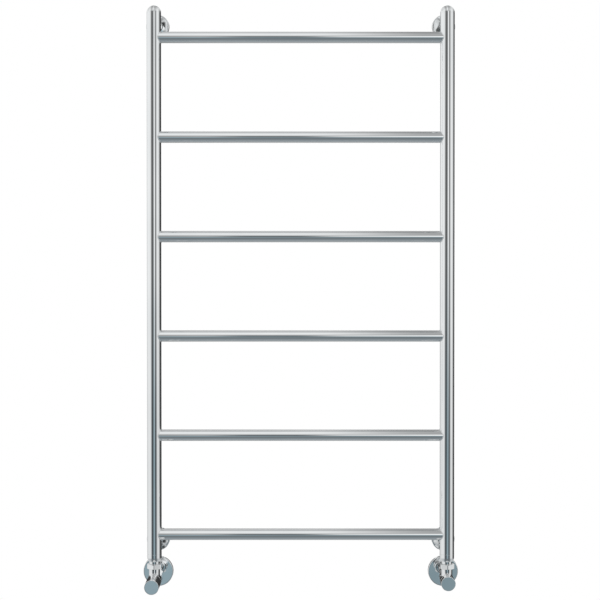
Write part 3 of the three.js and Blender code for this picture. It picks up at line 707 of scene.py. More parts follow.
@dataclass
class Ladder:
    """Two uprights with domed ends, the rungs between them and the welds that join them."""

    places: Places
    rows: RowsTree
    upright_radius: float = 14.0
    upright_wall: float = 1.5
    joint_edge: float = 0.1
    joint_band: float = 0.15
    rung_radius: float = 11.0
    rung_wall: float = 1.2
    rung_count: int = 6
    cope_band: float = 0.3
    water_way: float = 9.4
    water_way_patch: float = 11.5
    spigot_length: float = 11.0
    spigot_wall: float = 1.5
    spigot_gap: float = 0.2
    crown: float = 5.0
    dome_steps: int = 24
    cutter_back: float = 8.0
    cutter_past: float = 3.0
    tapping_radius: float = 10.7
    foot_rim: float = 0.9
    bead_radius: float = 0.75

    def build(self) -> None:
        """Makes every piece of the ladder."""
        for side in Side:
            self.upright(side)
            self.top_cap(side)
            self.foot(side)
        self.rungs()
        self.welds()

    def rung_heights(self) -> list[float]:
        """Heights of the rungs' axes."""
        lowest, pitch = self.places.lowest_rung, self.places.rung_pitch
        return [lowest + index * pitch for index in range(self.rung_count)]

    def upright(self, side: Side) -> None:
        """Tube with a water way behind each rung."""
        low, high = self.places.foot_top + SEAM, self.places.top_dome - SEAM
        outer, inner = self.upright_radius, self.upright_radius - self.upright_wall
        patches = [z + way * self.water_way_patch for z in self.rung_heights() for way in (-1, 1)]
        heights = [low + self.joint_band, *patches, high - self.joint_band]
        edge = outer - self.joint_edge
        rings = [(edge, low), *((outer, z) for z in heights), (edge, high)]
        rings += [(inner, z) for z in (high, *reversed(heights), low)]
        piece = ring_piece(f"{side.word}_upright_tube", rings, self.places.on_axis(side, 0), closed=True)
        inward = Facing.RIGHTWARD if side is Side.LEFT else Facing.LEFTWARD
        sites = [self.places.on_axis(side, z, inward) for z in self.rung_heights()]
        ends = (inner - self.cutter_back, outer + self.cutter_past)
        combine(piece, [cylinder(self.water_way, *ends, site) for site in sites])
        dress(piece, UPRIGHT_CHROME, "root", [f"upright_{side.word}"])

    def top_cap(self, side: Side) -> None:
        """Dome with a spigot inside the tube."""
        spigot = self.upright_radius - self.upright_wall - self.spigot_gap
        bore = spigot - self.spigot_wall
        roof = self.upright_radius - self.crown
        outline = [(0, roof), (bore / 2, roof, 2), (bore, 0, 3)]
        outline += [(bore, -self.spigot_length, 0.3), (spigot, -self.spigot_length, 0.5), (spigot, 0)]
        rings = softened(outline, closed=False) + [(self.upright_radius - self.joint_edge, 0)]
        rings += arc(self.upright_radius, 0, 0, math.pi / 2, self.dome_steps)[1:]
        piece = ring_piece(f"{side.word}_top_dome", rings, self.places.on_axis(side, self.places.top_dome))
        dress(piece, UPRIGHT_CHROME, "root", [f"top_cap_{side.word}"])

    def foot(self, side: Side) -> None:
        """Domed foot, tapped for the tail."""
        radius, tapping = self.upright_radius, self.tapping_radius
        low, high = self.places.foot_face, self.places.foot_top
        drop = math.sqrt(radius**2 - (tapping + self.foot_rim) ** 2)
        rings = [(tapping, low + 0.5), (tapping + EASE, low)]
        rings += arc(radius, low + drop, -math.asin(drop / radius), 0.0, self.dome_steps // 2)
        rings += [(radius, high - self.joint_band), (radius - self.joint_edge, high), (tapping, high)]
        piece = ring_piece(f"{side.word}_foot_dome", rings, self.places.on_axis(side, 0), closed=True)
        dress(piece, UPRIGHT_CHROME, "root", [f"bottom_cap_{side.word}"])

    def rungs(self) -> None:
        """One coped tube, repeated up the ladder."""

        def cope(side: Side, back: float) -> Callable[[float, float], float]:
            """Surface of the upright on one side."""
            return lambda _, y: side.value * (self.places.upright_x - self.places.saddle(y) - back)

        ends = ((Side.LEFT, 0), (Side.LEFT, self.cope_band), (Side.RIGHT, self.cope_band), (Side.RIGHT, 0))
        rings = [(self.rung_radius, cope(*end)) for end in ends]
        rings += [(self.rung_radius - self.rung_wall, cope(side, 0)) for side in (Side.RIGHT, Side.LEFT)]
        where = Facing.RIGHTWARD.at(0, -self.places.stand_off, self.places.lowest_rung)
        piece = ring_piece("ladder_rungs", rings, where, closed=True)
        self.rows.repeat(piece, RUNG_CHROME, (1, 0.0), (self.rung_count, self.places.rung_pitch))
        dress(piece, RUNG_CHROME, "root", [f"rung_{index + 1}" for index in range(self.rung_count)])

    def welds(self) -> None:
        """Polished beads where the rungs meet the uprights."""
        piece = as_piece("rung_weld_beads", bmesh.new())
        sizes = {
            "Bar Radius": self.rung_radius * MM,
            "Upright Radius": self.upright_radius * MM,
            "Half Span": self.places.upright_x * MM,
            "Bead": self.bead_radius * MM,
            "First": (0.0, -self.places.stand_off * MM, self.places.lowest_rung * MM),
            "Count": self.rung_count,
            "Step": (0.0, 0.0, self.places.rung_pitch * MM),
        }
        SaddleBeadTree().run(piece, RUNG_CHROME, sizes)
        dress(piece, RUNG_CHROME, "root", [])


# ---- Air vent ----


@dataclass
class AirVent:
    """Boss, hexagon plug and bleed screw on the back of the left upright, each reaching towards the wall."""

    places: Places
    boss_radius: float = 8.0
    boss_end: float = 24.0
    boss_gap: float = 0.15
    plug_radius: float = 5.0
    plug_start: float = 14.2
    head_flats: float = 14.0
    head_length: float = 5.0
    bleed_radius: float = 2.5
    bleed_start: float = 14.4
    square: float = 5.0
    square_length: float = 6.0

    def build(self) -> None:
        """Makes the three pieces."""
        where = self.places.on_axis(Side.LEFT, self.places.vent, Facing.WALLWARD)

        def on_tube(lift: float) -> Callable[[float, float], float]:
            """Surface of the upright, raised by `lift`."""
            return lambda x, _: self.places.saddle(x) + lift

        radius, end, bore = self.boss_radius, self.boss_end, self.plug_radius + 0.2
        collar = [(bore, on_tube(0)), (radius + 0.7, on_tube(0)), (radius + 0.2, on_tube(0.3))]
        collar += [(radius, on_tube(0.9))]
        collar += [(radius, end - 0.5), (radius - 0.15, end - 0.15), (radius - 0.5, end), (bore, end)]
        boss = ring_piece("vent_collar", collar, where, closed=True, segments=SMALL_SEGMENTS)
        dress(boss, FITTING_CHROME, "root", ["vent_boss"])
        seat = end + self.boss_gap
        head = seat + self.head_length
        inside = self.bleed_radius + FIT
        rings = [(inside, self.plug_start), (self.plug_radius, self.plug_start), (self.plug_radius, seat)]
        rings += hexagon(self.head_flats, seat, head) + [(inside + EASE, head), (inside, head - EASE)]
        plug = ring_piece("vent_hexagon_plug", rings, where, closed=True, start=90)
        dress(plug, FITTING_CHROME, "root", ["vent_plug"])
        self.bleed_screw(where, head + GAP)

    def bleed_screw(self, where: Matrix, head: float) -> None:
        """Threaded shank with a square for the key, which starts at `head`."""
        shank, half, end = self.bleed_radius, self.square / 2, head + self.square_length
        rings = [(0, self.bleed_start), (shank - 0.6, self.bleed_start), (shank, self.bleed_start + 0.6)]
        rings += [(shank, head), (half, head, 4), (half, end - EASE, 4), (half - EASE, end, 4), (0, end)]
        screw = ring_piece("bleed_key_screw", rings, where, segments=SMALL_SEGMENTS, start=45)
        dress(screw, MACHINED_BRASS, "bleeder", ["bleed_screw"])


# ---- Wall brackets ----


def rose_outline(radius: float, depth: float, bore: float) -> list[Point]:
    """Outline of a pressed cover cup, its rim on the wall.

    Args:
        radius: Outside radius.
        depth: How far its face stands from the wall.
        bore: Radius of the hole that it slides by.

    Returns:
        The outline, which is closed.
    """
    sheet, front_edge = 1.2, 1.8
    inside, back = radius - sheet, depth - sheet
    outline = [(inside, 0, 0.15), (radius, 0, 0.25), (radius, depth, front_edge), (bore + EASE, depth, 0.25)]
    return outline + [(bore, depth - 0.5, 0.1), (bore, back, 0.1), (inside, back, 0.6)]


@dataclass
class WallBrackets:
    """Four posts, each on a screwed base that a sliding rose covers."""

    places: Places
    rows: RowsTree
    threads: ThreadTree
    base_radius: float = 18.0
    base_thickness: float = 4.0
    hub_radius: float = 6.0
    hub_reach: float = 22.0
    sink_radius: float = 5.1
    bolt_hole: float = 2.8
    post_radius: float = 10.0
    post_back: float = 4.3
    post_bore: float = 6.3
    post_bore_end: float = 22.6
    grub_out: float = 14.0
    grub_radius: float = 2.4
    grub_hole: float = 2.7
    rose_radius: float = 23.0
    rose_depth: float = 8.0
    screw_head: float = 4.5
    screw_neck: float = 2.3
    screw_core: float = 1.85
    screw_socket: float = 1.9
    screw_length: float = 50.0
    thread_start: float = 4.0
    thread_end: float = 4.0
    thread_ridge: float = 0.62
    thread_pitch: float = 2.1

    def build(self) -> None:
        """Makes the pieces at the lower left, repeats the fixed ones, and makes a rose for each bracket."""
        self.bases()
        self.screws()
        self.posts()
        self.grubs()
        outline = rose_outline(self.rose_radius, self.rose_depth, self.post_radius + FIT)
        for name, side, height in self.sites():
            where = self.places.on_wall(side, height)
            piece = turned(f"{name}_bracket_rose", outline, where, closed=True)
            dress(piece, PRESSED_CHROME, f"rose_{name}", [f"bracket_rose_{name}"])

    def sites(self) -> list[tuple[str, Side, float]]:
        """Name, side and height of each bracket."""
        heights = (("bottom", self.places.bottom_bracket), ("top", self.places.top_bracket))
        return [(f"{level}_{side.word}", side, height) for level, height in heights for side in Side]

    def corner(self, facing: Facing = Facing.OUTWARD, out: float = 0.0) -> Matrix:
        """Placement at the lower left bracket."""
        return self.places.on_wall(Side.LEFT, self.places.bottom_bracket, facing, out)

    def repeat(self, piece: Piece, finish: Finish, kind: str) -> None:
        """Repeats a piece at all four brackets and dresses it."""
        rise = self.places.top_bracket - self.places.bottom_bracket
        self.rows.repeat(piece, finish, (2, 2 * self.places.upright_x), (2, rise))
        dress(piece, finish, "root", [f"bracket_{kind}_{name}" for name, _, _ in self.sites()])

    def bases(self) -> None:
        """Wall plates with their hubs."""
        plate, hub, end, hole = self.base_thickness, self.hub_radius, self.hub_reach, self.bolt_hole
        outline = [(hole, 0, 0.2), (self.base_radius, 0, 0.3), (self.base_radius, plate, 0.8)]
        outline += [(hub, plate, 0.8), (hub, end, 0.3), (self.sink_radius, end)]
        outline += [(hole, end - self.sink_radius + hole)]
        piece = turned("bracket_wall_plates", outline, self.corner(), closed=True, segments=SMALL_SEGMENTS)
        self.repeat(piece, ZINC_PLATE, "base")

    def screws(self) -> None:
        """Countersunk wood screws with a cut thread and a hexagon recess."""
        top = self.hub_reach - GAP
        tip = top - self.screw_length
        core, neck, head, socket = self.screw_core, self.screw_neck, self.screw_head, self.screw_socket
        rings = [(0, tip), (0.5, tip + 1.2), (core, tip + 5), (core, self.thread_end)]
        rings += [(neck, self.thread_end + 0.6), (neck, top - 2.4), (head, top - 0.25), (head, top)]
        rings += [(socket, top, 6), (socket - 0.1, top - 1.8, 6), (0, top - 2.3)]
        piece = ring_piece("bracket_wall_screws", rings, Matrix.Identity(4), segments=SMALL_SEGMENTS)
        foot = tip + self.thread_start
        length = self.thread_end - foot
        sizes = {"Radius": core * MM, "Turns": length / self.thread_pitch, "Length": length * MM}
        sizes |= {"Foot": (0.0, 0.0, foot * MM), "Ridge": self.thread_ridge * MM}
        self.threads.run(piece, ZINC_PLATE, sizes)
        piece.data.transform(self.corner())
        self.repeat(piece, ZINC_PLATE, "screw")

    def posts(self) -> None:
        """Bored posts, coped to the uprights, with a hole below for the grub screw."""

        def on_tube(back: float) -> Callable[[float, float], float]:
            """Surface of the upright, seen from the wall, or further back."""
            return lambda x, _: self.places.stand_off - self.places.saddle(x) - back

        radius, back = self.post_radius, self.post_back
        rings = [(0, self.post_bore_end), (self.post_bore, self.post_bore_end), (self.post_bore, back)]
        rings += [(radius - 0.3, back), (radius, back + 0.3), (radius, on_tube(1.0))]
        rings += [(radius + 0.2, on_tube(0.4)), (radius + 0.8, on_tube(0)), (radius * 0.7, on_tube(0))]
        rings += [(radius * 0.35, on_tube(0)), (0, on_tube(0)(0, 0))]
        piece = ring_piece("bracket_posts", rings, self.corner())
        combine(piece, [cylinder(self.grub_hole, 0, radius + 2, self.corner(Facing.DOWN, self.grub_out))])
        self.repeat(piece, FITTING_CHROME, "post")

    def grubs(self) -> None:
        """Socket grub screws that hold the posts on their hubs."""
        rings = set_screw(self.grub_radius, self.hub_radius + GAP, self.post_radius - GAP)
        where = self.corner(Facing.DOWN, self.grub_out)
        piece = ring_piece("bracket_grub_screws", rings, where, segments=SMALL_SEGMENTS)
        self.repeat(piece, TURNED_STAINLESS, "grub")


# ---- Valves ----


@dataclass
class AngleValve:
    """Angle valve under an upright, from wall to headwork; reaches are forward of the upright's axis."""

    places: Places
    name: str
    side: Side
    nut_heading: float
    barrel_radius: float = 14.0
    barrel_back: float = -22.0
    barrel_front: float = 15.0
    chamber_radius: float = 9.5
    seat: float = -14.0
    seat_length: float = 6.0
    orifice: float = 4.5
    inlet_radius: float = 11.0
    inlet_back: float = -36.0
    neck_radius: float = 10.8
    neck_rise: float = 23.0
    neck_bore: float = 6.5
    neck_thread: float = 4.3
    neck_turns: int = 4
    union_radius: float = 12.0
    union_flats: float = 27.5
    union_length: float = 10.0
    union_lip: float = 3.0
    tail_radius: float = 10.4
    tail_thread: float = 13.0
    collar_rise: float = 4.6
    thread_pitch: float = 1.4
    pipe_radius: float = 7.5
    pipe_wall: float = 1.0
    nut_flats: float = 25.0
    nut_back: float = -43.0
    nut_lip: float = 3.0
    olive_back: float = -39.7
    olive_length: float = 3.4
    rose_radius: float = 30.0
    rose_depth: float = 7.0
    bonnet_back: float = 2.0
    bonnet_front: float = 25.0
    bonnet_flats: float = 20.0
    bonnet_neck: float = 7.5
    bonnet_turns: int = 8
    flange_length: float = 3.0
    groove_back: float = 5.0
    groove_front: float = 3.0
    groove_depth: float = 1.7
    guide_front: float = 11.0
    guide_radius: float = 5.3
    seal_section: float = 0.7
    plug_head: float = 7.2
    plug_head_length: float = 3.2
    plug_stem: float = 5.0
    plug_stem_length: float = 14.5
    plug_tapping: float = 2.8
    plug_tapping_depth: float = 11.0
    spindle_radius: float = 3.0
    spindle_thread: float = 2.45
    spindle_root: float = 2.0
    spindle_turns: int = 11
    spindle_tail: float = 11.7
    thrust_collar: float = 4.7
    thrust_length: float = 1.5
    slot_reach: float = 8.0
    slot_squeeze: float = 0.106
    head_radius: float = 14.0
    head_back: float = 16.0
    head_bore: float = 12.2
    head_edge: float = 0.9

    @property
    def pipe_bore(self) -> float:
        """Radius of a bore that slides on the supply pipe."""
        return self.pipe_radius + FIT

    def axis(self, facing: Facing = Facing.OUTWARD, out: float = 0.0) -> Matrix:
        """Placement on the point where the barrel's axis meets the upright's, or further out."""
        return self.places.on_axis(self.side, 0, facing, out)

    def finish(self, piece: Piece, finish: Finish, node: str, body: str = "root") -> None:
        """Dresses a piece of this valve."""
        dress(piece, finish, body, [f"{self.name}_{node}"])

    def build(self) -> None:
        """Makes every piece of the valve."""
        for make in (
            self.rose, self.pipe, self.compression_nut, self.olive, self.body, self.union_nut, self.tail,
            self.bonnet, self.seal, self.plug, self.headwork,
        ):
            make()

    def headwork(self) -> None:
        """Spindle and whatever covers it; each kind of valve has its own."""
        raise NotImplementedError

    def rose(self) -> None:
        """Cover cup that slides on the supply pipe."""
        outline = rose_outline(self.rose_radius, self.rose_depth, self.pipe_bore)
        piece = turned(f"{self.name}_pipe_rose", outline, self.places.on_wall(self.side, 0), closed=True)
        self.finish(piece, PRESSED_CHROME, "wall_rose", f"{self.name}_rose")

    def pipe(self) -> None:
        """Chromed supply pipe from the wall into the barrel."""
        start, end = -self.places.stand_off, self.seat - self.seat_length - GAP
        outer, inner = self.pipe_radius, self.pipe_radius - self.pipe_wall
        outline = [(inner, start, 0.1), (outer, start, 0.1), (outer, end, 0.3), (inner, end, 0.2)]
        piece = turned(f"{self.name}_chromed_pipe", outline, self.axis(), closed=True)
        self.finish(piece, FITTING_CHROME, "supply_pipe")

    def compression_nut(self) -> None:
        """Hexagon nut that squeezes the olive."""
        low, high, lip = self.nut_back, self.barrel_back - GAP, self.nut_back + self.nut_lip
        bore, thread = self.pipe_bore, self.inlet_radius + FIT
        rings = [(bore, lip), (bore, low + EASE), (bore + EASE, low)] + hexagon(self.nut_flats, low, high)
        rings += [(thread + 0.25, high), (thread, high - EASE), (thread, lip)]
        piece = ring_piece(f"{self.name}_compression_hexagon", rings, self.axis(), closed=True, start=90)
        self.finish(piece, FITTING_CHROME, "compression_nut")

    def olive(self) -> None:
        """Barrel-shaped sealing ring."""
        bore, back, front = self.pipe_bore, self.olive_back, self.olive_back + self.olive_length
        outline = [(bore, back, 0.1), (bore + 0.7, back, 0.2), (bore + 2.2, (back + front) / 2, 2.0)]
        outline += [(bore + 0.7, front, 0.2), (bore, front, 0.1)]
        name = f"{self.name}_sealing_olive"
        piece = turned(name, outline, self.axis(), closed=True, segments=SMALL_SEGMENTS)
        self.finish(piece, MACHINED_BRASS, "olive")

    def body(self) -> None:
        """Forged angle body, bored from both ends and from above."""
        inlet, barrel = self.inlet_radius, self.barrel_radius
        back, front = self.barrel_back, self.barrel_front
        outline = [(0, self.inlet_back), (inlet, self.inlet_back, 0.6), (inlet, back, 0.2)]
        outline += [(barrel, back, 1.4), (barrel, front, 0.7), (0, front)]
        piece = turned(f"{self.name}_angle_body", outline, self.axis())
        combine(piece, [self.neck()], Joining.ADD)
        socket = self.seat - self.seat_length
        bores = [
            cylinder(self.pipe_bore, self.inlet_back - 1, socket, self.axis()),
            cylinder(self.orifice, socket - 1, self.seat + 1, self.axis()),
            cylinder(self.chamber_radius, self.seat, front + 1, self.axis()),
            cylinder(self.neck_bore, 0, self.neck_rise + 6, self.axis(Facing.UP)),
        ]
        combine(piece, bores)
        self.finish(piece, FITTING_CHROME, "body")

    def neck(self) -> Piece:
        """Neck that flares onto the barrel with a forged fillet."""

        def on_barrel(lift: float) -> Callable[[float, float], float]:
            """Height of the barrel's surface, raised by `lift`."""
            return lambda x, y: math.sqrt(max(self.barrel_radius**2 - x**2, 1.0)) + lift

        radius, rise, union = self.neck_radius, self.neck_rise, self.union_radius
        top = rise + self.neck_thread
        flare = ((1.4, -1.6), (1.5, -0.12), (0.85, 0.12), (0.4, 0.45), (0.1, 1.0), (0.0, 1.7))
        rings = [(0, 1.0), (radius - 1, 1.0)]
        rings += [(radius + spread, on_barrel(lift)) for spread, lift in flare]
        rings += [(radius, rise - 0.5), (radius, rise), (union - 0.3, rise + 0.3)]
        rings += grooves(union, union - 0.5, rise + 0.6, 1.0, self.neck_turns)
        rings += [(union - 0.6, top), (0, top)]
        return ring_piece("neck", rings, self.axis(Facing.UP))

    def union_nut(self) -> None:
        """Hexagon nut that draws the tail onto the neck."""
        low, high, lip = self.neck_rise, self.neck_rise + self.union_length, self.tail_radius + FIT
        thread, shoulder = self.union_radius + 0.3, high - self.union_lip
        rings = [(lip, shoulder), (thread, shoulder), (thread, low + EASE), (thread + EASE, low)]
        rings += hexagon(self.union_flats, low, high) + [(lip + EASE, high), (lip, high - EASE)]
        where, heading = self.axis(Facing.UP), self.nut_heading
        piece = ring_piece(f"{self.name}_union_hexagon", rings, where, closed=True, start=heading)
        self.finish(piece, FITTING_CHROME, "union_nut")

    def tail(self) -> None:
        """Tail with its collar, threaded where it enters the upright's foot."""
        rise = self.neck_rise
        low, high = rise + self.collar_rise, rise + self.union_length - self.union_lip - GAP
        foot, top = self.places.foot_face, self.places.foot_face + self.tail_thread
        bore, radius, collar = self.neck_bore, self.tail_radius, self.union_radius
        turns = int((self.tail_thread - 2) / self.thread_pitch)
        rings = [(bore, low), (collar - 0.3, low), (collar, low + 0.3), (collar, high), (radius, high)]
        rings += [(radius, foot + 0.8)] + grooves(radius - 0.6, radius, foot + 1.2, self.thread_pitch, turns)
        rings += [(radius - 0.8, top), (bore, top)]
        piece = ring_piece(f"{self.name}_union_tail", rings, self.axis(Facing.UP), closed=True)
        self.finish(piece, FITTING_CHROME, "tail")

    def bonnet(self) -> None:
        """Headwork screwed into the barrel, with a hexagon flange and the seal's groove."""
        thread, guide, neck = self.chamber_radius - 0.2, self.guide_radius, self.bonnet_neck
        bore, groove = self.spindle_radius + GAP, self.spindle_radius + GAP + self.groove_depth
        back, front, flange = self.bonnet_back, self.bonnet_front, self.barrel_front + GAP
        face, start, end = flange + self.flange_length, front - self.groove_back, front - self.groove_front
        rings = [(guide, back), (thread - 0.6, back)]
        rings += grooves(thread, thread - 0.5, back + 0.6, self.thread_pitch, self.bonnet_turns)
        rings += [(thread - 0.5, flange)]
        rings += hexagon(self.bonnet_flats, flange, face)
        rings += [(neck + 0.1, face), (neck, face + 0.2), (neck, front - 0.6), (neck - 0.6, front)]
        rings += [(bore + 0.3, front), (bore, front - 0.3), (bore, end), (groove, end)]
        rings += [(groove, start), (bore, start)]
        rings += [(bore, self.guide_front), (guide, self.guide_front)]
        piece = ring_piece(f"{self.name}_headwork_bonnet", rings, self.axis(), closed=True, start=90)
        self.finish(piece, MACHINED_BRASS, "bonnet")

    def seal(self) -> None:
        """Rubber ring round the spindle."""
        section, middle = self.seal_section, self.spindle_radius + GAP + self.seal_section
        height = self.bonnet_front - self.groove_front - GAP - section
        steps = 16
        angles = [2 * math.pi * step / steps for step in range(steps)]
        rings = [(middle + section * math.cos(a), height + section * math.sin(a)) for a in angles]
        name = f"{self.name}_rubber_seal"
        piece = ring_piece(name, rings, self.axis(), closed=True, segments=SMALL_SEGMENTS)
        self.finish(piece, SEAL_RUBBER, "spindle_seal")

    def plug(self) -> None:
        """Closing plug that the spindle draws along its bore."""
        back = self.seat + GAP
        face = back + self.plug_head_length
        front = face + self.plug_stem_length
        head, stem, tapping = self.plug_head, self.plug_stem, self.plug_tapping
        end = front - self.plug_tapping_depth
        outline = [(0, back), (head, back, 0.8), (head, face, 0.3), (stem, face, 0.3), (stem, front, 0.4)]
        outline += [(tapping, front, 0.2), (tapping, end, 0.3), (0, end)]
        piece = turned(f"{self.name}_closing_plug", outline, self.axis(), segments=SMALL_SEGMENTS)
        self.finish(piece, MACHINED_BRASS, "plug", f"{self.name}_closer")

    def spindle(self, front: float, body: str, slot_depth: float) -> None:
        """Turning spindle: thread behind, thrust collar, then the shaft.

        Args:
            front: Where the shaft ends.
            body: Body that it rides on.
            slot_depth: Depth of the screwdriver slot, or 0 for none.
        """
        collar_front = self.guide_front - GAP
        collar_back = collar_front - self.thrust_length
        tail = collar_back - self.spindle_tail
        thread, root = self.spindle_thread, self.spindle_root
        collar, shaft = self.thrust_collar, self.spindle_radius
        rings = [(0, tail), (root - 0.1, tail)] + grooves(thread, root, tail + 0.5, 1.0, self.spindle_turns)
        rings += [(root, collar_back), (collar, collar_back), (collar, collar_front), (shaft, collar_front)]
        rings += [(shaft, front - EASE), (shaft - EASE, front), (0, front)]
        piece = ring_piece(f"{self.name}_turning_spindle", rings, self.axis(), segments=SMALL_SEGMENTS)
        if slot_depth:
            combine(piece, [self.slot(front, slot_depth)])
        self.finish(piece, MACHINED_BRASS, "spindle", body)

    def slot(self, front: float, depth: float) -> Piece:
        """Square bar across the spindle's end, squeezed in height to a screwdriver slot's width."""
        low, high, reach = front - depth, front + 2, self.slot_reach
        rings = [(0, low), (reach, low), (reach, high), (0, high)]
        tool = ring_piece("tool", rings, self.axis(), segments=4, start=45)
        tool.data.transform(Matrix.Scale(self.slot_squeeze, 4, Vector((0, 0, 1))))
        return tool


@dataclass
class ControlValve(AngleValve):
    """Valve with the hand knob."""

    length: float = 43.6
    skirt: float = 11.0
    shaft_length: float = 11.0
    screw_radius: float = 2.0
    screw_hole: float = 2.15
    screw_back: float = 6.0

    def headwork(self) -> None:
        """Spindle, knob and the knob's set screw, all turning together."""
        hub, front = self.head_back + self.skirt, self.head_back + self.length
        shaft_end = hub + self.shaft_length
        self.spindle(shaft_end, "control_head", 0)
        socket, bore, radius = self.spindle_radius + 0.2, self.head_bore, self.head_radius
        roof = shaft_end + GAP
        outline = [(0, roof), (socket, roof, 0.2), (socket, hub, 0.3), (bore, hub, 0.6)]
        outline += [(bore, self.head_back, 0.2), (radius, self.head_back, 0.4)]
        outline += [(radius, front, self.head_edge), (0, front)]
        knob = turned("control_hand_knob", outline, self.axis())
        under = self.axis(Facing.DOWN, hub + self.screw_back)
        combine(knob, [cylinder(self.screw_hole, 0, radius + 2, under)])
        self.finish(knob, FITTING_CHROME, "knob", "control_head")
        rings = set_screw(self.screw_radius, self.spindle_radius + GAP, radius - GAP)
        screw = ring_piece("control_knob_set_screw", rings, under, segments=SMALL_SEGMENTS)
        self.finish(screw, TURNED_STAINLESS, "knob_screw", "control_head")


@dataclass
class LockshieldValve(AngleValve):
    """Valve with the push-on cap over a slotted spindle."""

    length: float = 15.0
    wall: float = 1.8
    sleeve: float = 7.8
    sleeve_wall: float = 1.3
    sleeve_length: float = 8.0

    def headwork(self) -> None:
        """Slotted spindle, and the cap that grips the bonnet's neck."""
        self.spindle(self.bonnet_front + 1.0, "lockshield_stem", 1.0)
        bore, radius = self.head_bore, self.head_radius
        back, front = self.head_back, self.head_back + self.length
        inside, inner, outer = front - self.wall, self.sleeve, self.sleeve + self.sleeve_wall
        end = inside - self.sleeve_length
        outline = [(0, inside), (inner, inside, 0.4), (inner, end, 0.2), (outer, end, 0.3)]
        outline += [(outer, inside, 0.4), (bore, inside, 0.4), (bore, back, 0.2), (radius, back, 0.4)]
        outline += [(radius, front, self.head_edge), (0, front)]
        cap = turned("lockshield_push_cap", outline, self.axis())
        self.finish(cap, FITTING_CHROME, "cap", "lockshield_cover")


# ---- Studio ----


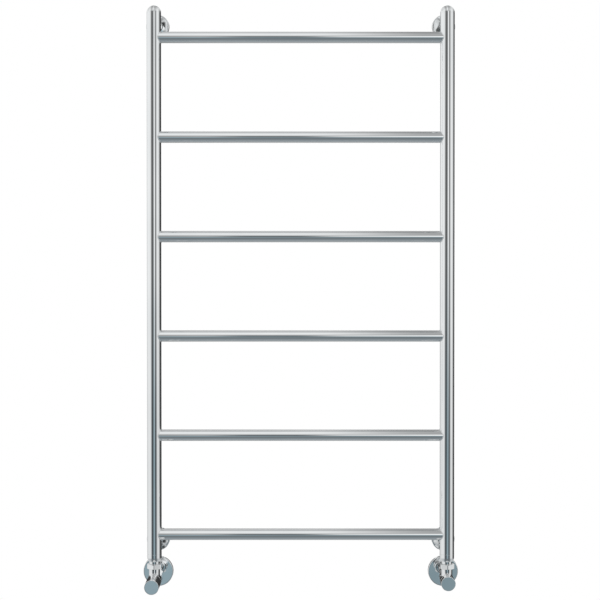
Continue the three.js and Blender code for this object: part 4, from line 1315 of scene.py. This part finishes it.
@dataclass
class Studio:
    """Camera, pale floor, soft lights and the bright room that the chrome mirrors.

    The room's tables hold the display level that a mirror shows at each angle in degrees: `room_level`
    round the horizon, `room_low` a little below it and `room_meridian` from below to above, all with 0 at
    the front. The ranges say where, on a unit sphere of directions, one table gives way to another.
    """

    eye: Spot = (-0.0005, -2.822, 0.675)
    tilt: float = 0.688
    lens: float = 84.32
    shift: Range = (-0.00073, -0.08)
    floor_height: float = -330.0
    floor_half: float = 2000.0
    floor_back: float = 430.0
    aim: Spot = (0, -0.08, 0.5)
    room_level: tuple[Range, ...] = (
        (-180, 60), (-163, 62), (-150, 208), (-131, 226), (-103, 238), (-82, 228), (-70, 235), (-52, 222),
        (-44, 200), (-38, 122), (-28, 104), (-20, 88), (-13, 86), (-6, 142), (1, 205), (7, 255), (13, 250),
        (19, 175), (26, 112), (33, 125), (40, 195), (50, 205), (60, 232), (70, 234), (80, 224), (91, 204),
        (101, 155), (110, 98), (120, 60), (140, 52), (166, 54), (180, 60),
    )
    room_low: tuple[Range, ...] = (
        (-180, 50), (-163, 52), (-150, 200), (-124, 213), (-100, 222), (-66, 225), (-52, 214),
        (-46, 200), (-40, 132), (-32, 98), (-25, 70), (-16, 60), (-10, 96), (-8, 160), (-3, 160), (1, 142),
        (8, 146), (13, 188), (18, 100), (25, 42), (33, 60), (39, 132), (45, 180), (53, 190), (60, 225),
        (69, 222), (79, 212), (90, 186), (100, 138), (111, 86), (122, 50), (180, 50),
    )
    room_meridian: tuple[Range, ...] = (
        (-180, 190), (-137, 165), (-100, 150), (-74, 142), (-50, 124), (-28, 112), (-14, 118), (-2, 128),
        (11, 165), (32, 214), (54, 238), (78, 215), (107, 190), (140, 190), (180, 190),
    )
    mirror_loss: float = 0.88
    plain: Colour = (0.985, 1.0, 1.008)
    cool: Colour = (0.88, 1.0, 1.08)
    cold: Colour = (0.74, 1.0, 1.12)
    cool_low: float = 45
    cold_low: float = 14
    cool_under: float = 105
    dome_above: Range = (0.16, 0.24)
    dome_below: Range = (0.26, 0.34)
    to_low: Range = (-0.03, 0.17)
    meridian_above: Range = (0.08, 0.5)
    meridian_below: Range = (0.2, 0.45)
    meridian_sideways: Range = (0.08, 0.17)
    meridian_loss: float = 0.5
    to_under: Range = (-0.05, 0.05)
    dusk_level: float = 90
    dusk_start: Range = (0.0, 0.1)
    dusk_end: Range = (0.14, 0.32)
    dusk_above: Range = (0.2, 0.5)
    dusk_share: float = 0.6
    slate_level: float = 104
    slate_middle: Range = (-0.02, 0.05)
    slate_width: Range = (0.015, 0.055)
    slate_height: Range = (0.14, 0.3)

    def build(self) -> None:
        """Sets up everything that isn't part of the towel warmer."""
        self.camera()
        self.floor()
        self.light("key", (-2.2, -2.6, 2.6), 2.2, 55.0)
        self.light("fill", (2.6, -2.0, 1.2), 2.6, 28.0)
        self.room()
        scene = bpy.context.scene
        scene.view_settings.view_transform = "Standard"
        scene.view_settings.look = "None"

    def camera(self) -> None:
        """Camera in front, shifted down so that the uprights stay parallel."""
        data = bpy.data.cameras.new("camera")
        data.lens = self.lens
        data.sensor_width = 36.0
        data.shift_x, data.shift_y = self.shift
        data.dof.use_dof = False
        data.clip_end = 50.0
        camera = bpy.data.objects.new("camera", data)
        camera.location = self.eye
        camera.rotation_euler = (math.radians(90 - self.tilt), 0, 0)
        bpy.context.scene.collection.objects.link(camera)
        bpy.context.scene.camera = camera

    def floor(self) -> None:
        """Plain pale floor that runs from behind the wall line into the room."""
        half, thickness, bevel = self.floor_half, 30, 6
        rings = [(0, -thickness), (half, -thickness, 4), (half, -bevel, 4), (half - bevel, 0, 4), (0, 0)]
        where = Facing.UP.at(0, self.floor_back - half, self.floor_height)
        floor = ring_piece("pale_floor", rings, where, segments=64, start=45)
        floor.data.materials.append(FLOOR_PAINT.material())
        floor.visible_glossy = False

    def light(self, name: str, place: Spot, size: float, power: float) -> None:
        """Soft area light that faces the ladder and doesn't show as a patch in the chrome."""
        data = bpy.data.lights.new(name, "AREA")
        data.shape = "DISK"
        data.size = size
        data.energy = power
        lamp = bpy.data.objects.new(name, data)
        lamp.location = place
        lamp.rotation_euler = (Vector(self.aim) - Vector(place)).to_track_quat("-Z", "Y").to_euler()
        lamp.visible_glossy = False
        bpy.context.scene.collection.objects.link(lamp)

    def glow(self, level: float, tint: Colour) -> tuple[float, float, float, float]:
        """Colour of the room where a mirror shows it at this display level."""
        share = level / 255
        linear = share / 12.92 if share <= 0.04045 else ((share + 0.055) / 1.055) ** 2.4
        return (*(linear * part / self.mirror_loss for part in tint), 1.0)

    def room(self) -> None:
        """World whose brightness follows heading near the horizon and height away from it."""
        world = bpy.data.worlds.new("studio")
        bpy.context.scene.world = world
        world.use_nodes = True
        world.node_tree.nodes.clear()
        wires = RoomWiring(world.node_tree, "ShaderNode")
        light = self.room_light(wires)
        room = wires.node("Background", {"Color": light}).outputs[0]
        paper = wires.node("Background", {"Color": (1, 1, 1, 1)}).outputs[0]
        seen = wires.node("LightPath").outputs["Is Camera Ray"]
        chosen = wires.node("MixShader", {0: seen, 1: room, 2: paper}).outputs[0]
        wires.node("OutputWorld", {"Surface": chosen})

    def room_light(self, wires: "RoomWiring") -> Socket:
        """Colour of the room in the direction that is looked in.

        Args:
            wires: The world's nodes.

        Returns:
            The socket that gives it.
        """
        maths, eased, blended = wires.maths, wires.eased, wires.blended
        heading = wires.node("TexCoord").outputs["Generated"]
        across, back, height = wires.node("SeparateXYZ", {0: heading}).outputs
        ahead, drop = maths("MULTIPLY", back, -1.0), maths("MULTIPLY", height, -1.0)
        level_angle = maths("ARCTAN2", across, ahead)
        spread = maths("MAXIMUM", maths("MULTIPLY", maths("SUBTRACT", 1.0, back), 2.0), 0.0001)
        lean = maths("DIVIDE", across, maths("SQRT", spread))
        domed_angle = maths("MULTIPLY", maths("ARCSINE", lean), 2.0)
        steep = maths("ADD", eased(height, self.dome_above), eased(drop, self.dome_below))
        swing = maths("MULTIPLY", maths("SUBTRACT", domed_angle, level_angle), steep)
        angle = maths("ADD", level_angle, swing)
        level = wires.ramp(angle, self.colours(self.room_level, 0, 0))
        low = wires.ramp(angle, self.colours(self.room_low, self.cool_low, self.cold_low))
        around = blended(eased(drop, self.to_low), level, low)
        climb = maths("ARCTAN2", height, ahead)
        over = wires.ramp(climb, self.colours(self.room_meridian, 0, 0))
        under = wires.ramp(climb, self.colours(self.room_meridian, self.cool_under, 0))
        patch = maths("MULTIPLY", eased(across, self.dusk_start), wires.fading(across, self.dusk_end))
        veil = maths("MULTIPLY", maths("MULTIPLY", patch, eased(height, self.dusk_above)), self.dusk_share)
        over = blended(veil, over, self.glow(self.dusk_level, self.plain))
        meridian = blended(eased(drop, self.to_under), over, under)
        lift = maths("ADD", eased(height, self.meridian_above), eased(drop, self.meridian_below))
        sideways = eased(maths("ABSOLUTE", lean), self.meridian_sideways)
        centred = maths("SUBTRACT", 1.0, maths("MULTIPLY", sideways, self.meridian_loss))
        light = blended(maths("MULTIPLY", lift, centred), around, meridian)
        spans = zip((across, height), self.slate_middle, (self.slate_width, self.slate_height))
        streak = [
            wires.fading(maths("ABSOLUTE", maths("SUBTRACT", value, middle)), width)
            for value, middle, width in spans
        ]
        return blended(maths("MULTIPLY", *streak), light, self.glow(self.slate_level, self.cool))

    def colours(
        self, table: Sequence[Range], cool: float, cold: float
    ) -> list[tuple[float, tuple[float, ...]]]:
        """A table's degrees with their colours, cool and cold where the angle is nearer to 0 than these."""
        rows = []
        for degrees, level in table:
            tint = self.cold if abs(degrees) < cold else self.cool if abs(degrees) < cool else self.plain
            rows.append((degrees, self.glow(level, tint)))
        return rows


class RoomWiring(Wiring):
    """Ways to build a world's colour from directions."""

    def ramp(self, angle: Socket, colours: Sequence[tuple[float, tuple[float, ...]]]) -> Socket:
        """Colours round a circle, by an angle in radians whose degrees they are given for."""
        turn = self.maths("ADD", self.maths("DIVIDE", angle, 2 * math.pi), 0.5)
        node = self.node("ValToRGB", {"Fac": turn})
        elements = node.color_ramp.elements
        elements.remove(elements[0])
        for index, (degrees, colour) in enumerate(colours):
            position = (degrees + 180) / 360
            element = elements[0] if index == 0 else elements.new(position)
            element.position = position
            element.color = colour
        return node.outputs["Color"]

    def eased(self, value: Socket, between: Range) -> Socket:
        """Smooth step from 0 at the range's start to 1 at its end."""
        inputs = {"Value": value, "From Min": between[0], "From Max": between[1]}
        return self.node("MapRange", inputs, interpolation_type="SMOOTHSTEP").outputs["Result"]

    def fading(self, value: Socket, between: Range) -> Socket:
        """Smooth step from 1 at the range's start to 0 at its end."""
        return self.maths("SUBTRACT", 1.0, self.eased(value, between))

    def blended(self, share: Socket, first: object, second: object) -> Socket:
        """Two colours mixed by a share of the second."""
        return self.node("Mix", {0: share, 6: first, 7: second}, data_type="RGBA").outputs[2]


def main() -> None:
    """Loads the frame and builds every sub-assembly round it."""
    logging.basicConfig(level=logging.INFO, format="%(name)s %(message)s")
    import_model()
    places = Places.from_frame()
    rows = RowsTree()
    for assembly in (
        Ladder(places, rows),
        AirVent(places),
        WallBrackets(places, rows, ThreadTree()),
        ControlValve(places, "control", Side.LEFT, 90.0),
        LockshieldValve(places, "lockshield", Side.RIGHT, 93.0),
        Studio(),
    ):
        log.info("building %s", type(assembly).__name__)
        assembly.build()


if __name__ == "__main__":
    main()
